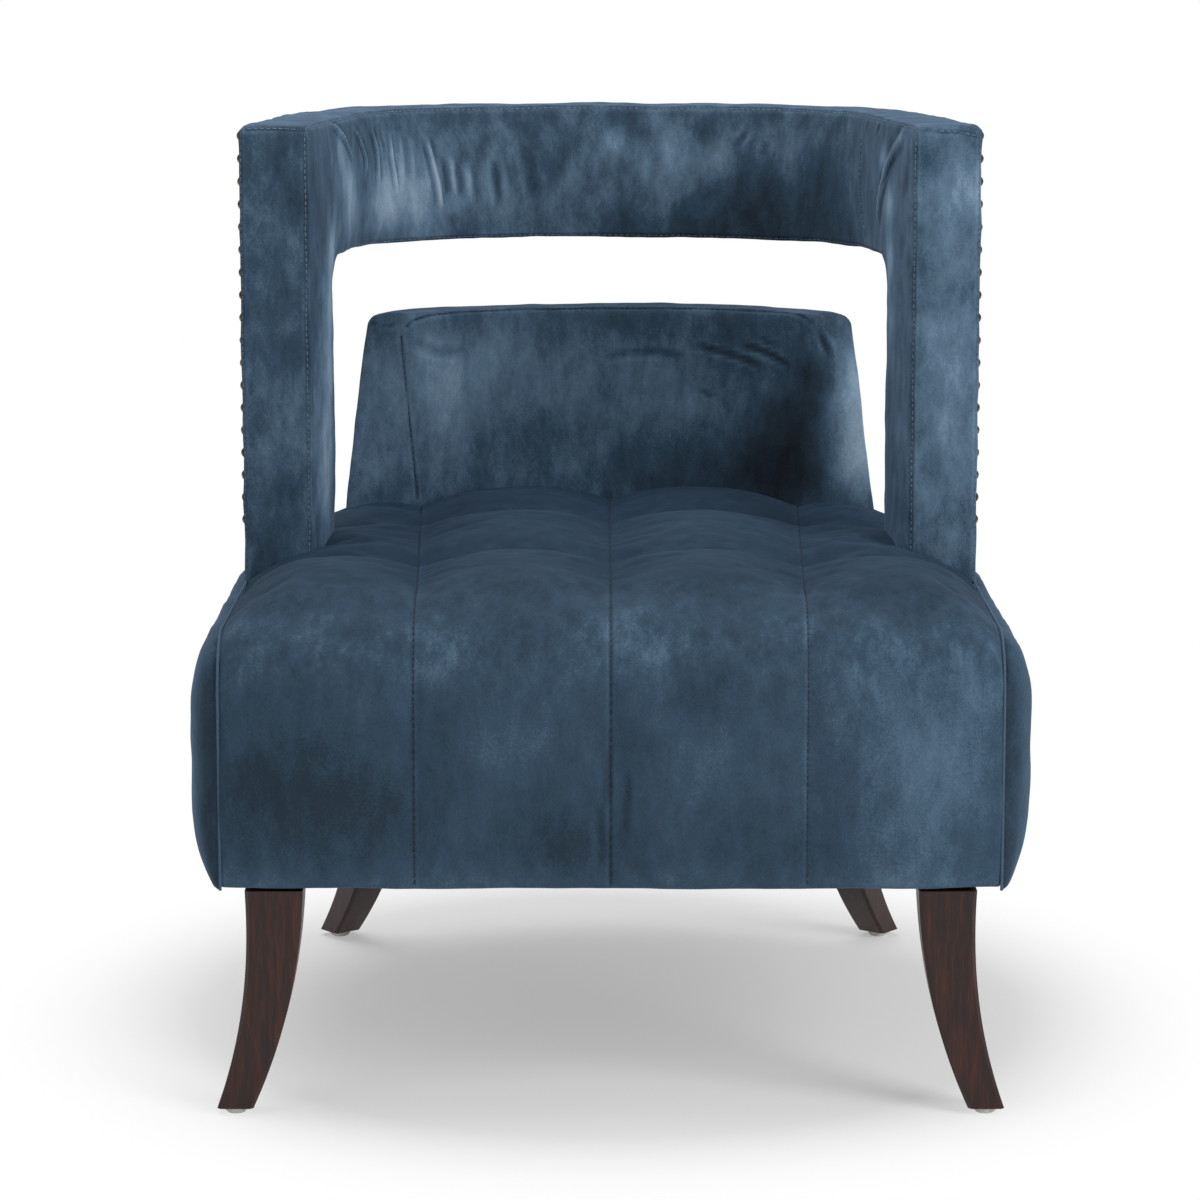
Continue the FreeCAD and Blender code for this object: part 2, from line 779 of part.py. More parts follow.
springs = []
clips = []
spring_number = int(size("spring_count"))
for i in range(spring_number):
    across = (i - (spring_number - 1) / 2) * size("spring_pitch")
    coil, near, far = spring(across)
    springs.append(coil)
    for depth in (near, far):
        width = size("clip_width")
        length = min(width, board_thick)
        spot = point(across - width / 2, depth - length / 2, board_top)
        clips.append(Part.makeBox(width, length, size("clip_thick"), spot))
shaped("seat_springs", Part.makeCompound(springs))
shaped("spring_clips", Part.makeCompound(clips))


# Lower back

back_foot = deck_top + gap
back_high = rail_low - size("back_window")
back_mid = size("frame_back") - size("back_panel_set")


def frame_depth(across):
    """Depth of the frame's back arc, carried on past its ends, at a place across the seat."""
    return frame_curve.back_centre + math.sqrt(frame_curve.back_radius ** 2 - across ** 2)


def inset_shift(end, middle, onto, inset, side):
    """How an arc's end moves when the arc and the end line are both drawn in by an inset.

    side is -1 for the outer arc, which moves towards its centre, and 1 for the inner one.
    """
    rise = middle.y - end.y
    radius = (end.x ** 2 + rise ** 2) / (2 * rise)
    normal = Vector(end.x, end.y - (middle.y - radius), 0) / radius
    tangent = Vector(-normal.y, normal.x, 0)
    reach = inset * (1 - side * normal.dot(onto)) / tangent.dot(onto)
    return tangent * reach + normal * (side * inset)


def back_spots(height, inset):
    """The six points of the lower back's outline at one height, drawn in by an inset."""
    share = (height - back_foot) / (back_high - back_foot)
    stand = size("back_crown") * 4 * share * (1 - share)

    def between(name):
        return size(name + "_foot") + (size(name + "_top") - size(name + "_foot")) * share

    outer_half = between("back_outer_half")
    outer = Vector(outer_half, frame_depth(outer_half) - between("back_outer_drop"), 0)
    inner = Vector(between("back_inner_half"), back_mid - between("back_inner_reach"), 0)
    outer_mid = Vector(0, back_mid, 0)
    inner_mid = Vector(0, back_mid - between("back_mid_thick") - stand, 0)
    along = (outer - inner).normalize()
    onto = Vector(-along.y, along.x, 0)
    outer_end = outer + inset_shift(outer, outer_mid, onto, inset, -1)
    inner_end = inner + inset_shift(inner, inner_mid, onto, inset, 1)
    shift = Vector(0, inset, 0)
    return outer_end, outer_mid - shift, inner_end, inner_mid + shift


def across_back(spot, height, side=1):
    return point(side * spot.x, spot.y, height)


def back_layer(height, outer, inner):
    """A closed outline between two arcs given as (end, middle) pairs."""
    outer_right, outer_left = (across_back(outer[0], height, side) for side in (1, -1))
    inner_right, inner_left = (across_back(inner[0], height, side) for side in (1, -1))
    return Part.Wire([
        arc(outer_right, across_back(outer[1], height), outer_left),
        line(outer_left, inner_left),
        arc(inner_left, across_back(inner[1], height), inner_right),
        line(inner_right, outer_right),
    ])


def back_loft(low, high, outline):
    """A loft through three levels of the lower back."""
    levels = (low, (low + high) / 2, high)
    return Part.makeLoft([outline(height) for height in levels], True, False)


def back_body(inset):
    def outline(height):
        outer_end, outer_mid, inner_end, inner_mid = back_spots(height, inset)
        return back_layer(height, (outer_end, outer_mid), (inner_end, inner_mid))
    return outline


def back_front_panel(height):
    spots = back_spots(height, 0.0)
    under = back_spots(height, thin)
    return back_layer(height, (under[2], under[3]), (spots[2], spots[3]))


def back_rear_panel(height):
    spots = back_spots(height, 0.0)
    under = back_spots(height, thin)
    return back_layer(height, (spots[0], spots[1]), (under[0], under[1]))


def back_end_panel(height):
    outer, _, inner, _ = back_spots(height, 0.0)
    along = (outer - inner).normalize()
    onto = Vector(-along.y, along.x, 0)
    start = inner + along * skin
    finish = outer - along * skin
    corners = [start, finish, finish + onto * thin, start + onto * thin]
    return Part.makePolygon([across_back(c, height) for c in corners + corners[:1]])


def back_upright(across):
    """A board screwed to the inside of the rear rail; it carries the lower back."""
    inset = board_thick + 2 * gap
    centre = Vector(0, frame_curve.back_centre, 0)
    radius = frame_curve.back_radius - inset
    if across > radius * math.sin(frame_curve.swing):
        centre = Vector(frame_curve.corner_x, frame_curve.corner_y, 0)
        radius = frame_curve.corner_radius - inset
    swing = math.asin((across - centre.x) / radius)
    width = size("back_upright_width")
    thick = size("back_upright_thick")
    top = back_high - skin - size("rib_edge") - board_thick - gap
    flat = math.sqrt(radius ** 2 - (width / 2) ** 2)
    blank = Part.makeBox(width, thick, top - frame_base, Vector(-width / 2, flat - thick, 0))
    blank.rotate(Vector(), Vector(0, 0, 1), -math.degrees(swing))
    blank.translate(point(centre.x, centre.y, frame_base))
    return blank


uprights = []
for name in ("back_upright_near", "back_upright_far"):
    upright_board = back_upright(size(name))
    uprights += [upright_board, left_of(upright_board)]
all_uprights = Part.makeCompound(uprights)
shaped("lower_back_uprights", all_uprights)

rib_top = back_high - skin - size("rib_edge")
rib_inset = (size("back_mid_thick_top") - size("back_rib_width")) / 2
outer_end, outer_mid, inner_end, inner_mid = back_spots(rib_top, rib_inset)
back_rib = slab(back_layer(rib_top - board_thick, (outer_end, outer_mid), (inner_end, inner_mid)),
                board_thick)
shaped("lower_back_rib", back_rib)

back_wood = Part.makeCompound([all_uprights, back_rib])
back_stuffing = back_loft(back_foot, back_high - skin, back_body(skin))
shaped("lower_back_pad", back_stuffing.cut(back_wood))
shaped("lower_back_inner_cover", back_loft(back_foot, back_high - skin, back_front_panel))
shaped("lower_back_outer_cover", back_loft(back_foot, back_high - skin, back_rear_panel))
both_sides("lower_back_end_cover", back_loft(back_foot, back_high - skin, back_end_panel))
top_outline = back_body(0.0)(back_high)
shaped("lower_back_top_cover", slab(top_outline, -thin))


# Seat: sections across the seat follow a path up the front and back over the top. Between the
# front and the top they fan out round a hinge line just above the deck's front edge.

foam_base = deck_top + gap
fold = size("foam_fold")
hinge_depth = front_set - gap + fold
hinge_height = foam_base - fold
row_front = size("tuft_row_front")
row_pitch = size("tuft_row_pitch")
rear_pad = size("rear_pad_thick")
rear_out = rear_pad + gap
rear_reach_out = rear_out + thin


class Ridge:
    """One line that runs up the front and back over the top, with a round bend between."""

    def __init__(self, top, front, radius):
        self.top = top
        self.front = front
        self.radius = radius
        self.bend_depth = front + radius
        self.bend_height = top - radius

    def rise(self, way, place):
        """Distance from the hinge line, along the section's plane."""
        if way == "front":
            if place <= self.bend_height:
                return hinge_depth - self.front
            drop = math.sqrt(self.radius ** 2 - (place - self.bend_height) ** 2)
            return hinge_depth - (self.bend_depth - drop)
        if way == "top":
            if place >= self.bend_depth:
                return self.top - hinge_height
            drop = math.sqrt(self.radius ** 2 - (self.bend_depth - place) ** 2)
            return self.bend_height + drop - hinge_height
        forward, up = math.cos(place), math.sin(place)
        to_front = (hinge_depth - self.front) / forward
        to_top = (self.top - hinge_height) / up
        if hinge_height + to_front * up <= self.bend_height:
            return to_front
        if hinge_depth - to_top * forward >= self.bend_depth:
            return to_top
        away = hinge_depth - self.bend_depth
        below = hinge_height - self.bend_height
        half = up * below - forward * away
        rest = away ** 2 + below ** 2 - self.radius ** 2
        return -half + math.sqrt(half ** 2 - rest)


def row_share(depth):
    """How much of a cross valley there is at a depth: 1 on a row of tufts, 0 between rows."""
    if depth < row_front - row_pitch / 2:
        return 0.0
    return (1 + math.cos(2 * math.pi * (depth - row_front) / row_pitch)) / 2


def seat_stations():
    """Where the sections lie: (way, place, valley share), evenly spaced along the crest."""
    radius = size("seat_front_radius")
    top = size("seat_crest")
    straight = top - radius - underside
    bend = radius * math.pi / 2
    over = size("frame_back") + rear_reach_out - radius
    count = int(size("seat_sections"))
    stations = []
    for i in range(count + 1):
        along = (straight + bend + over) * i / count
        if along < straight:
            depth, height = 0.0, underside + along
        elif along < straight + bend:
            swing = (along - straight) / radius
            depth, height = radius - radius * math.cos(swing), top - radius + radius * math.sin(swing)
        else:
            depth, height = radius + along - straight - bend, top
        if height <= hinge_height:
            stations.append(("front", height, min(1.0, 0.5 + along / straight)))
        elif depth >= hinge_depth:
            stations.append(("top", depth, row_share(depth)))
        else:
            stations.append(("fan", math.atan2(height - hinge_height, hinge_depth - depth), 0.0))
    return stations


def station_spot(way, place):
    """A function that puts (across, rise) of one section into space."""
    if way == "front":
        return lambda across, rise: point(across, hinge_depth - rise, place)
    if way == "top":
        return lambda across, rise: point(across, place, hinge_height + rise)
    back, up = -math.cos(place), math.sin(place)
    return lambda across, rise: point(across, hinge_depth + rise * back,
                                      hinge_height + rise * up)


def seat_heights(way, place, valley):
    """Rises of the section's eleven points, from one edge to the other, before any inset."""
    crest = size("seat_crest")
    radius = size("seat_front_radius")
    crown = size("seat_crown")
    channel = size("channel_depth") * (valley if way == "front" else 1.0)
    row = valley if way == "top" else 0.0
    tuft = size("tuft_depth") * (TUFT_REST_SHARE + (1 - TUFT_REST_SHARE) * row)
    dip = size("valley_depth") * row
    middle = Ridge(crest - dip, 0.0, radius).rise(way, place)
    outer = Ridge(crest - crown - dip, 0.0, radius).rise(way, place)
    inner_seam = Ridge(crest - tuft, channel, radius).rise(way, place)
    outer_seam = Ridge(crest - crown - tuft, channel, radius).rise(way, place)
    edge = Ridge(seat_edge_top, size("seat_edge_setback"),
                 size("seat_edge_radius")).rise(way, place)
    half = [edge, outer, outer_seam, middle]
    return half + [inner_seam] + half[::-1]


def seat_places(half_width):
    """Places across the seat of the same points: edges, crests and seams."""
    column = seam_half / 2
    return [-half_width, -CREST_OUT_SHARE * seam_half, -column, -column / 2, 0.0, column / 2,
            column, CREST_OUT_SHARE * seam_half, half_width]


def seat_arcs(spot, places, heights):
    """The four pillow arcs of a section, from one edge to the other."""
    spots = [spot(across, rise) for across, rise in zip(places, heights)]
    return [arc(spots[i], spots[i + 1], spots[i + 2]) for i in range(0, len(spots) - 1, 2)]


def seat_section(way, place, valley, inset, half_width):
    """A closed section between the pillows, sunk by an inset, and a flat floor."""
    spot = station_spot(way, place)
    places = seat_places(half_width)
    heights = [rise - inset for rise in seat_heights(way, place, valley)]
    edges = seat_arcs(spot, places, heights)
    low_right, low_left = spot(places[-1], fold), spot(places[0], fold)
    edges.append(line(edges[3].Vertexes[1].Point, low_right))
    edges += [line(low_right, low_left), line(low_left, edges[0].Vertexes[0].Point)]
    return Part.Wire(edges)


def seat_body(inset, half_width):
    """The seat's solid under its own surface sunk by an inset."""
    sections = [seat_section(*station, inset, half_width) for station in seat_stations()]
    return Part.makeLoft(sections, True, True)


foam_whole = seat_body(skin, frame_half)
cover_whole = seat_body(0.0, seam_half)
cover_room = seat_body(thin, seam_half + gap)

# What stands in the seat: the posts and the lower back

seat_peak = size("seat_crest") + size("seat_crown")
post_rise = seat_peak - post_foot + gap
post_hole = slab(post_wire(post_foot - gap, -gap, band_thick + crown_rise + gap, -gap, -gap),
                 post_rise)
post_holes = post_hole.fuse(left_of(post_hole))
back_hole = back_loft(back_foot - 2 * gap, seat_peak, back_body(-gap))
wood_in_seat = Part.makeCompound([upright.Shape, left_of(upright.Shape)])


def seat_cut(whole, inset):
    """A seat solid kept inside the frame's outline, with room for what stands in it."""
    room = inside_of(frame_curve, -band_front, inset, underside, seat_peak)
    return whole.common(room).cut(post_holes).cut(back_hole)


shaped("seat_foam", seat_cut(foam_whole, size("foam_edge_set")).cut(wood_in_seat))
shaped("seat_cover", seat_cut(cover_whole, -rear_reach_out).cut(cover_room))


# Side borders: outlines in upright planes, drawn in as they puff out

def side_outline(across, foot_inset, top_inset, front_inset, rear_inset):
    front = size("seat_edge_setback") + front_inset
    top = seat_edge_top - top_inset
    foot = underside + foot_inset
    rear = turn_depth - rear_inset
    bend = size("seat_edge_radius")
    lean = bend * (1 - math.cos(math.pi / 4))
    spots = [point(across, front, foot), point(across, front, top - bend),
             point(across, front + lean, top - lean), point(across, front + bend, top),
             point(across, rear, top), point(across, rear, foot)]
    edges = [line(spots[0], spots[1]), arc(spots[1], spots[2], spots[3])]
    edges += [line(spots[3], spots[4]), line(spots[4], spots[5]), line(spots[5], spots[0])]
    return Part.Wire(edges)


def side_shape(near, inset):
    """A puffed border from a plane near the frame out to its fullest face."""
    puff = size("side_puff")
    foot_puff = size("side_foot_puff")
    foot_room = hinge_height - underside
    side_height = seat_edge_top - underside
    outlines = [side_outline(near, inset, inset, inset, inset)]
    for puff_share, foot_share, rim_share in SIDE_SHARES:
        stand = foot_puff + (puff - foot_puff) * puff_share
        rim = side_height * rim_share
        outlines.append(side_outline(seam_half + stand - inset, foot_room * foot_share + inset,
                                     rim + inset, rim + inset, 2 * rim + inset))
    return Part.makeLoft(outlines, True, True)


side_inner = frame_half + gap
side_whole = side_shape(side_inner, skin).cut(post_hole)
side_shell = side_shape(seam_half + gap, 0.0).cut(side_shape(side_inner, thin)).cut(post_hole)
both_sides("side_pad", side_whole)
both_sides("side_cover", side_shell)

# Rear border of the seat box: upright to the seat's floor, then up to the underside of its cover

border_top = seat_body(skin, seam_half + rear_reach_out)


def rear_border(outer, inner):
    """A band round the back of the seat box, between two insets of the frame's outline."""
    lower = arc_band(frame_curve, outer, inner, underside, foam_base - underside)
    upper = arc_band(frame_curve, outer, inner, foam_base, seat_peak - foam_base)
    return lower.fuse(upper.common(border_top).cut(post_holes)).removeSplitter()


shaped("base_rear_pad", rear_border(-rear_pad, -gap))
shaped("base_rear_cover", rear_border(-rear_reach_out, -rear_out))

# Felt over the springs and cloth under the frame

felt = inside_of(frame_curve, front_set, gap, deck_base, size("felt_thick"))
shaped("spring_pad", felt.cut(wood_in_seat).cut(all_uprights))
dust_base = leg_top + gap
dust_inset = size("dust_inset")
dust = inside_of(frame_curve, front_set + dust_inset, dust_inset, dust_base,
                 size("dust_cloth_thick"))
shaped("dust_cover", dust.cut(all_bolts))

# Checking and writing

doc.recompute()
faults = [item.Label for item in doc.Objects if {"Invalid", "Error"} & set(item.State)]
faults += [piece.Label for piece in pieces
           if not piece.Shape.Solids or not piece.Shape.isValid() or piece.Shape.Volume <= 0]
if faults:
    raise RuntimeError("failed: %s" % ", ".join(faults))
os.makedirs("parts", exist_ok=True)
for piece in pieces:
    piece.Shape.exportStep("parts/%s.step" % piece.Label)
print("wrote %d sub-parts" % len(pieces))
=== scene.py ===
"""Looks of the barrel accent chair: velvet upholstery, walnut legs and bronze nails on its frame.

All lengths are metres in the frame's axes: X across, Y towards the back, Z up. Every upholstered
piece is worked out from the boxes of the nodes that it stands for.
"""

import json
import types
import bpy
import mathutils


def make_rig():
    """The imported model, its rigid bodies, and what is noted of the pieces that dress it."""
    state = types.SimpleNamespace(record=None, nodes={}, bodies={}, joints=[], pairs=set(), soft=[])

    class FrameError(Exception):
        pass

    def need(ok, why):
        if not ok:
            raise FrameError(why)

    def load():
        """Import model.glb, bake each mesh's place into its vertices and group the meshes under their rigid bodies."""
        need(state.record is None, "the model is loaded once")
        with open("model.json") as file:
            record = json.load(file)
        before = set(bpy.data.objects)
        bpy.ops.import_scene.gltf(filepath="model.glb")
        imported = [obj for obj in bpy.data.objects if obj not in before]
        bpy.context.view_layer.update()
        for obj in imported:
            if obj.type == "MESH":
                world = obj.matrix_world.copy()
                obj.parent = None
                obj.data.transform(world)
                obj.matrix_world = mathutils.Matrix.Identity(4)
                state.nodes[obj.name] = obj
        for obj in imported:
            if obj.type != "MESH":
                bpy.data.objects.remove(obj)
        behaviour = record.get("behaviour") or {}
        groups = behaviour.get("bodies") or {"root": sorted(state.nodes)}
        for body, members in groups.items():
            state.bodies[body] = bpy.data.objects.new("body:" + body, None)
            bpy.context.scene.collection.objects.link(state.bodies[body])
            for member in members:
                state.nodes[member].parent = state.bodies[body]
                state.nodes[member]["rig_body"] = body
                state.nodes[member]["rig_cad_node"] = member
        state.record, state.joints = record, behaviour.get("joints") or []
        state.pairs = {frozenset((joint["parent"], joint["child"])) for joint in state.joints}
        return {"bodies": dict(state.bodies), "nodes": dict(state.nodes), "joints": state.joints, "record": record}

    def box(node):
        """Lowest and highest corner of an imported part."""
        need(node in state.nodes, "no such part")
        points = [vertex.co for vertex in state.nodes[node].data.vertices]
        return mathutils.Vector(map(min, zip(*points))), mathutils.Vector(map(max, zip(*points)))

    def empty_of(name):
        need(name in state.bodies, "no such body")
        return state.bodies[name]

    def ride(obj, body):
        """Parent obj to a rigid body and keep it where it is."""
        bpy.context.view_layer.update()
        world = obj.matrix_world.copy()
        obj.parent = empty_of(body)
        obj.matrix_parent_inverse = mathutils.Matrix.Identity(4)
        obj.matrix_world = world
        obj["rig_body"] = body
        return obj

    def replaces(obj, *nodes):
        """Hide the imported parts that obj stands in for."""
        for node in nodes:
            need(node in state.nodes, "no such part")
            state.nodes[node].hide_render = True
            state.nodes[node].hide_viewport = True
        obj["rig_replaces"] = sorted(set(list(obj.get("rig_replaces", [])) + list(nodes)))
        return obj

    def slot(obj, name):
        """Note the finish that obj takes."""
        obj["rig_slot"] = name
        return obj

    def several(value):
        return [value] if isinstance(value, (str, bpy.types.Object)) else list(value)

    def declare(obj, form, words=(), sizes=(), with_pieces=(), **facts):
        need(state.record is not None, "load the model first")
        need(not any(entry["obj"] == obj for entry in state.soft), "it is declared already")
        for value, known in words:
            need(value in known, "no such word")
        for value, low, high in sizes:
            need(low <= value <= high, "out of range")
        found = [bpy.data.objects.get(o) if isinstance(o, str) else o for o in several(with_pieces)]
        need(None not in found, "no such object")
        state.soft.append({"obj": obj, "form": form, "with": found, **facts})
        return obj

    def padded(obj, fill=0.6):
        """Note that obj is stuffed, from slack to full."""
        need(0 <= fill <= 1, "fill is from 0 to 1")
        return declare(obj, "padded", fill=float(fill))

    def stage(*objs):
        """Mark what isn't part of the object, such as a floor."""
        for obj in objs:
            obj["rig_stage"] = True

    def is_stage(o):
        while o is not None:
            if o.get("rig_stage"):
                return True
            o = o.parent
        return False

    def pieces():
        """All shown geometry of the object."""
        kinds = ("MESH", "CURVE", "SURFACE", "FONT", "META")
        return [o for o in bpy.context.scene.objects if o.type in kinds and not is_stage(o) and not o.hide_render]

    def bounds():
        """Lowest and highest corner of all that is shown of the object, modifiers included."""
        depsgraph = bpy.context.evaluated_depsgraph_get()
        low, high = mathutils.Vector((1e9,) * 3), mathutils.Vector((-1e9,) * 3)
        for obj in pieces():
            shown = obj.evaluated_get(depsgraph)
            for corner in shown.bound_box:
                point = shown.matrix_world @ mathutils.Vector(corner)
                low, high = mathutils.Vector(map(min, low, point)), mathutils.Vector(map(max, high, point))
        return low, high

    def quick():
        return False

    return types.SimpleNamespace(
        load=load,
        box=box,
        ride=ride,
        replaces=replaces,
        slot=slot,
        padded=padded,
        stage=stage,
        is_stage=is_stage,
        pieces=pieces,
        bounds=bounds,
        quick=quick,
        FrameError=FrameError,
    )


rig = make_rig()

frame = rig.load()

import json
import logging
import math
from dataclasses import dataclass, field
from enum import Enum
from typing import Callable, Sequence

import bmesh
import bpy
import numpy as np
from mathutils import Vector, noise
from mathutils.bvhtree import BVHTree

logging.basicConfig(level=logging.INFO, format="%(name)s: %(message)s")
log = logging.getLogger("chair")

ROOT = "root"
SIZE_FILE = "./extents.json"
MM = 0.001

# Painted highlight and shade per metre that the cloth stands proud: a ridge is painted lighter and a groove darker
RIDGE_HIGHLIGHT_GROOVE_SHADE = 140.0

# Lengths too short to matter, and how far off a cover a search for its surface starts
TINY, HAIR = 1e-9, 1e-5
CAST, ROLL_CAST = 0.1, 0.2

# How the cloth over the padding behaves while it is blown up
CLOTH = {"quality": 5, "mass": 0.2, "tension_stiffness": 25, "compression_stiffness": 25,
         "shear_stiffness": 8, "bending_stiffness": 0.6, "tension_damping": 10,
         "compression_damping": 10}

# Pressing: step along a line, its reach in widths, place and width of its rim, block of points
PRESS_STEP = 2 * MM
PRESS_REACH = 3.2
RIM_PLACE, RIM_WIDTH = 1.7, 0.8
BLOCK = 4000

# Roughness, spread and octaves of the padding's unevenness, and the turn of its seed
RIPPLE_DETAIL = (0.6, 2.0, 3)
RIPPLE_TURN = 0.37

Place = Callable[[float, float], Vector]


class Corner(Enum):
    """The four long edges of a post or the rail, in the order of the section's points."""

    OUTER_LOW = 0
    OUTER_HIGH = 1
    INNER_HIGH = 2
    INNER_LOW = 3


@dataclass(frozen=True)
class Photo:
    """The photograph's camera, fitted to the chair, and the size of its picture.

    Attributes:
        place: where the camera stands.
        tilt: its turn up from looking straight down.
        lens: focal length in millimetres, as the sensor's width is.
        pixels: width and height of the picture.
    """

    place: Vector = Vector((-0.0095, -3.872, 1.047))
    tilt: float = math.radians(80.48)
    lens: float = 123.2
    sensor: float = 36.0
    pixels: float = 1200.0

    def ray(self, across: float, down: float) -> Vector:
        """Direction from the camera through a pixel of the photograph.

        Args:
            across: the pixel's place from the left.
            down: its place from the top.

        Returns:
            The direction, of length 1.
        """
        focal = self.lens / self.sensor * self.pixels
        right = (across - self.pixels / 2) / focal
        up = (self.pixels / 2 - down) / focal
        pitch = math.pi / 2 - self.tilt
        forward = Vector((0, math.cos(pitch), -math.sin(pitch)))
        lift = Vector((0, math.sin(pitch), math.cos(pitch)))
        return (forward + Vector((right, 0, 0)) + lift * up).normalized()


PHOTO = Photo()


class PlanCurve:
    """A U in plan: straight sides, corner arcs and a back arc, all tangent.

    It runs from the right side's front end round the back to the left side's front end.
    """

    def __init__(self, half: float, front: float, back: float, taper: float, back_radius: float,
                 corner_radius: float) -> None:
        """Work the arcs out from the sizes.

        Args:
            half: half width at the front ends.
            front: depth of the front ends.
            back: depth of the back arc's middle.
            taper: inward lean of the sides, in degrees.
            back_radius: radius of the back arc.
            corner_radius: radius of the corner arcs.
        """
        lean = math.radians(taper)
        self.half, self.front, self.lean = half, front, lean
        self.back_radius, self.corner_radius = back_radius, corner_radius
        self.back_centre = back - back_radius
        base = Vector((half - math.cos(lean) * corner_radius,
                       front - math.sin(lean) * corner_radius - self.back_centre))
        onward = Vector((-math.sin(lean), math.cos(lean)))
        reach = back_radius - corner_radius
        along = base.dot(onward)
        step = -along + math.sqrt(along ** 2 - base.length_squared + reach ** 2)
        self.corner = base + onward * step + Vector((0, self.back_centre))
        self.swing = math.atan2(self.corner.x, self.corner.y - self.back_centre)
        self.quarter = math.pi / 2 - lean
        turn = self.corner + corner_radius * Vector((math.sin(self.quarter),
                                                     math.cos(self.quarter)))
        self.turn = turn.y
        self.side_length = (turn - Vector((half, front))).length
        self.corner_length = corner_radius * (self.quarter - self.swing)
        self.rear_length = back_radius * self.swing
        self.half_length = self.side_length + self.corner_length + self.rear_length
        self.length = 2 * self.half_length

    def at(self, length: float) -> tuple[Vector, Vector]:
        """Point and outward normal at a distance from the right side's front end.

        Args:
            length: the distance along the curve.

        Returns:
            The point and the normal, in plan.
        """
        mirror = 1
        if length > self.half_length:
            length, mirror = self.length - length, -1
        if length <= self.side_length:
            share = length / self.side_length
            angle = self.quarter
            start = Vector((self.half, self.front))
            end = self.corner + self.corner_radius * Vector((math.sin(angle), math.cos(angle)))
            point = start.lerp(end, share)
        elif length <= self.side_length + self.corner_length:
            angle = self.quarter - (length - self.side_length) / self.corner_radius
            point = self.corner + self.corner_radius * Vector((math.sin(angle), math.cos(angle)))
        else:
            angle = (self.half_length - length) / self.back_radius
            point = Vector((self.back_radius * math.sin(angle),
                            self.back_centre + self.back_radius * math.cos(angle)))
        normal = Vector((math.sin(angle), math.cos(angle)))
        return Vector((mirror * point.x, point.y)), Vector((mirror * normal.x, normal.y))

    def inside(self, across: float, depth: float) -> float:
        """Rough distance from a point to the curve.

        Args:
            across: the point's place across.
            depth: its depth.

        Returns:
            The distance, positive inside the curve.
        """
        side = self.half - abs(across)
        if depth <= self.turn:
            return side
        corner = Vector((abs(across), depth)) - self.corner
        if math.atan2(corner.x, corner.y) > self.swing and corner.x > 0:
            return self.corner_radius - corner.length
        return self.back_radius - math.hypot(across, depth - self.back_centre)


@dataclass(frozen=True)
class Measures:
    """Sizes that the upholstery takes from the boxes of the frame's nodes.

    Attributes:
        seam_half: half width of the seat's cover.
        seat_front: depth of the seat's front.
        crest: height of the seat's highest line.
        underside: height of the side borders' lower edge.
        edge_top: height of their upper edge.
        puff_half: half width across them.
        post_front: depth of the posts' front.
        post_rear: depth of the posts' rear.
        band_half: half width across the rail.
        band_top: height of the rail's top.
        band_low: height of its underside.
        band_back: depth of its back at the top.
        band_back_low: the same at its underside.
        lower_top: height of the lower back.
    """

    seam_half: float
    seat_front: float
    crest: float
    underside: float
    edge_top: float
    puff_half: float
    post_front: float
    post_rear: float
    band_half: float
    band_top: float
    band_low: float
    band_back: float
    band_back_low: float
    lower_top: float

    @classmethod
    def read(cls) -> "Measures":
        """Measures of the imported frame.

        Returns:
            The measures.
        """
        seat_low, seat_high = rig.box("seat_cover")
        side_low, side_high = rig.box("side_cover_right")
        front_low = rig.box("post_front_cover_right")[0]
        top_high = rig.box("rail_top_cover")[1]
        bottom_low, bottom_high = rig.box("rail_bottom_cover")
        return cls(
            seam_half=seat_high.x, seat_front=seat_low.y, crest=seat_high.z,
            underside=side_low.z, edge_top=side_high.z, puff_half=side_high.x,
            post_front=front_low.y, post_rear=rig.box("post_rear_cover_right")[1].y,
            band_half=top_high.x, band_top=top_high.z, band_low=bottom_low.z,
            band_back=top_high.y, band_back_low=bottom_high.y,
            lower_top=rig.box("lower_back_top_cover")[1].z)


def smooth_step(value: float, low: float, high: float) -> float:
    """A soft step from 0 at low to 1 at high."""
    share = min(1.0, max(0.0, (value - low) / (high - low)))
    return share * share * (3 - 2 * share)


def write_bounds(key: str, low: Sequence[float], high: Sequence[float]) -> None:
    """Args:
        key: which pair it is.
        low: the lowest corner.
        high: the highest corner.
    """
    try:
        with open(SIZE_FILE) as source:
            sizes = json.load(source)
    except (OSError, ValueError):
        sizes = {}
    sizes[key] = [list(map(float, low)), list(map(float, high))]
    with open(SIZE_FILE, "w") as target:
        json.dump(sizes, target)


# Meshes


def new_object(name: str, bm: bmesh.types.BMesh) -> bpy.types.Object:
    """Turn a bmesh into a smooth-shaded object at the origin.

    Args:
        name: its name.
        bm: its mesh, which is used up.

    Returns:
        The object.
    """
    for face in bm.faces:
        face.smooth = True
    mesh = bpy.data.meshes.new(name)
    bm.to_mesh(mesh)
    bm.free()
    obj = bpy.data.objects.new(name, mesh)
    bpy.context.scene.collection.objects.link(obj)
    return obj


def sheet_of(name: str, columns: int, rows: int, place: Place) -> bpy.types.Object:
    """A sheet of quads over the unit square.

    Args:
        name: its name.
        columns: quads across.
        rows: quads up.
        place: where each point of the unit square lies.

    Returns:
        The sheet.
    """
    bm = bmesh.new()
    bmesh.ops.create_grid(bm, x_segments=columns, y_segments=rows, size=0.5)
    for vert in bm.verts:
        vert.co = place(vert.co.x + 0.5, vert.co.y + 0.5)
    return new_object(name, bm)


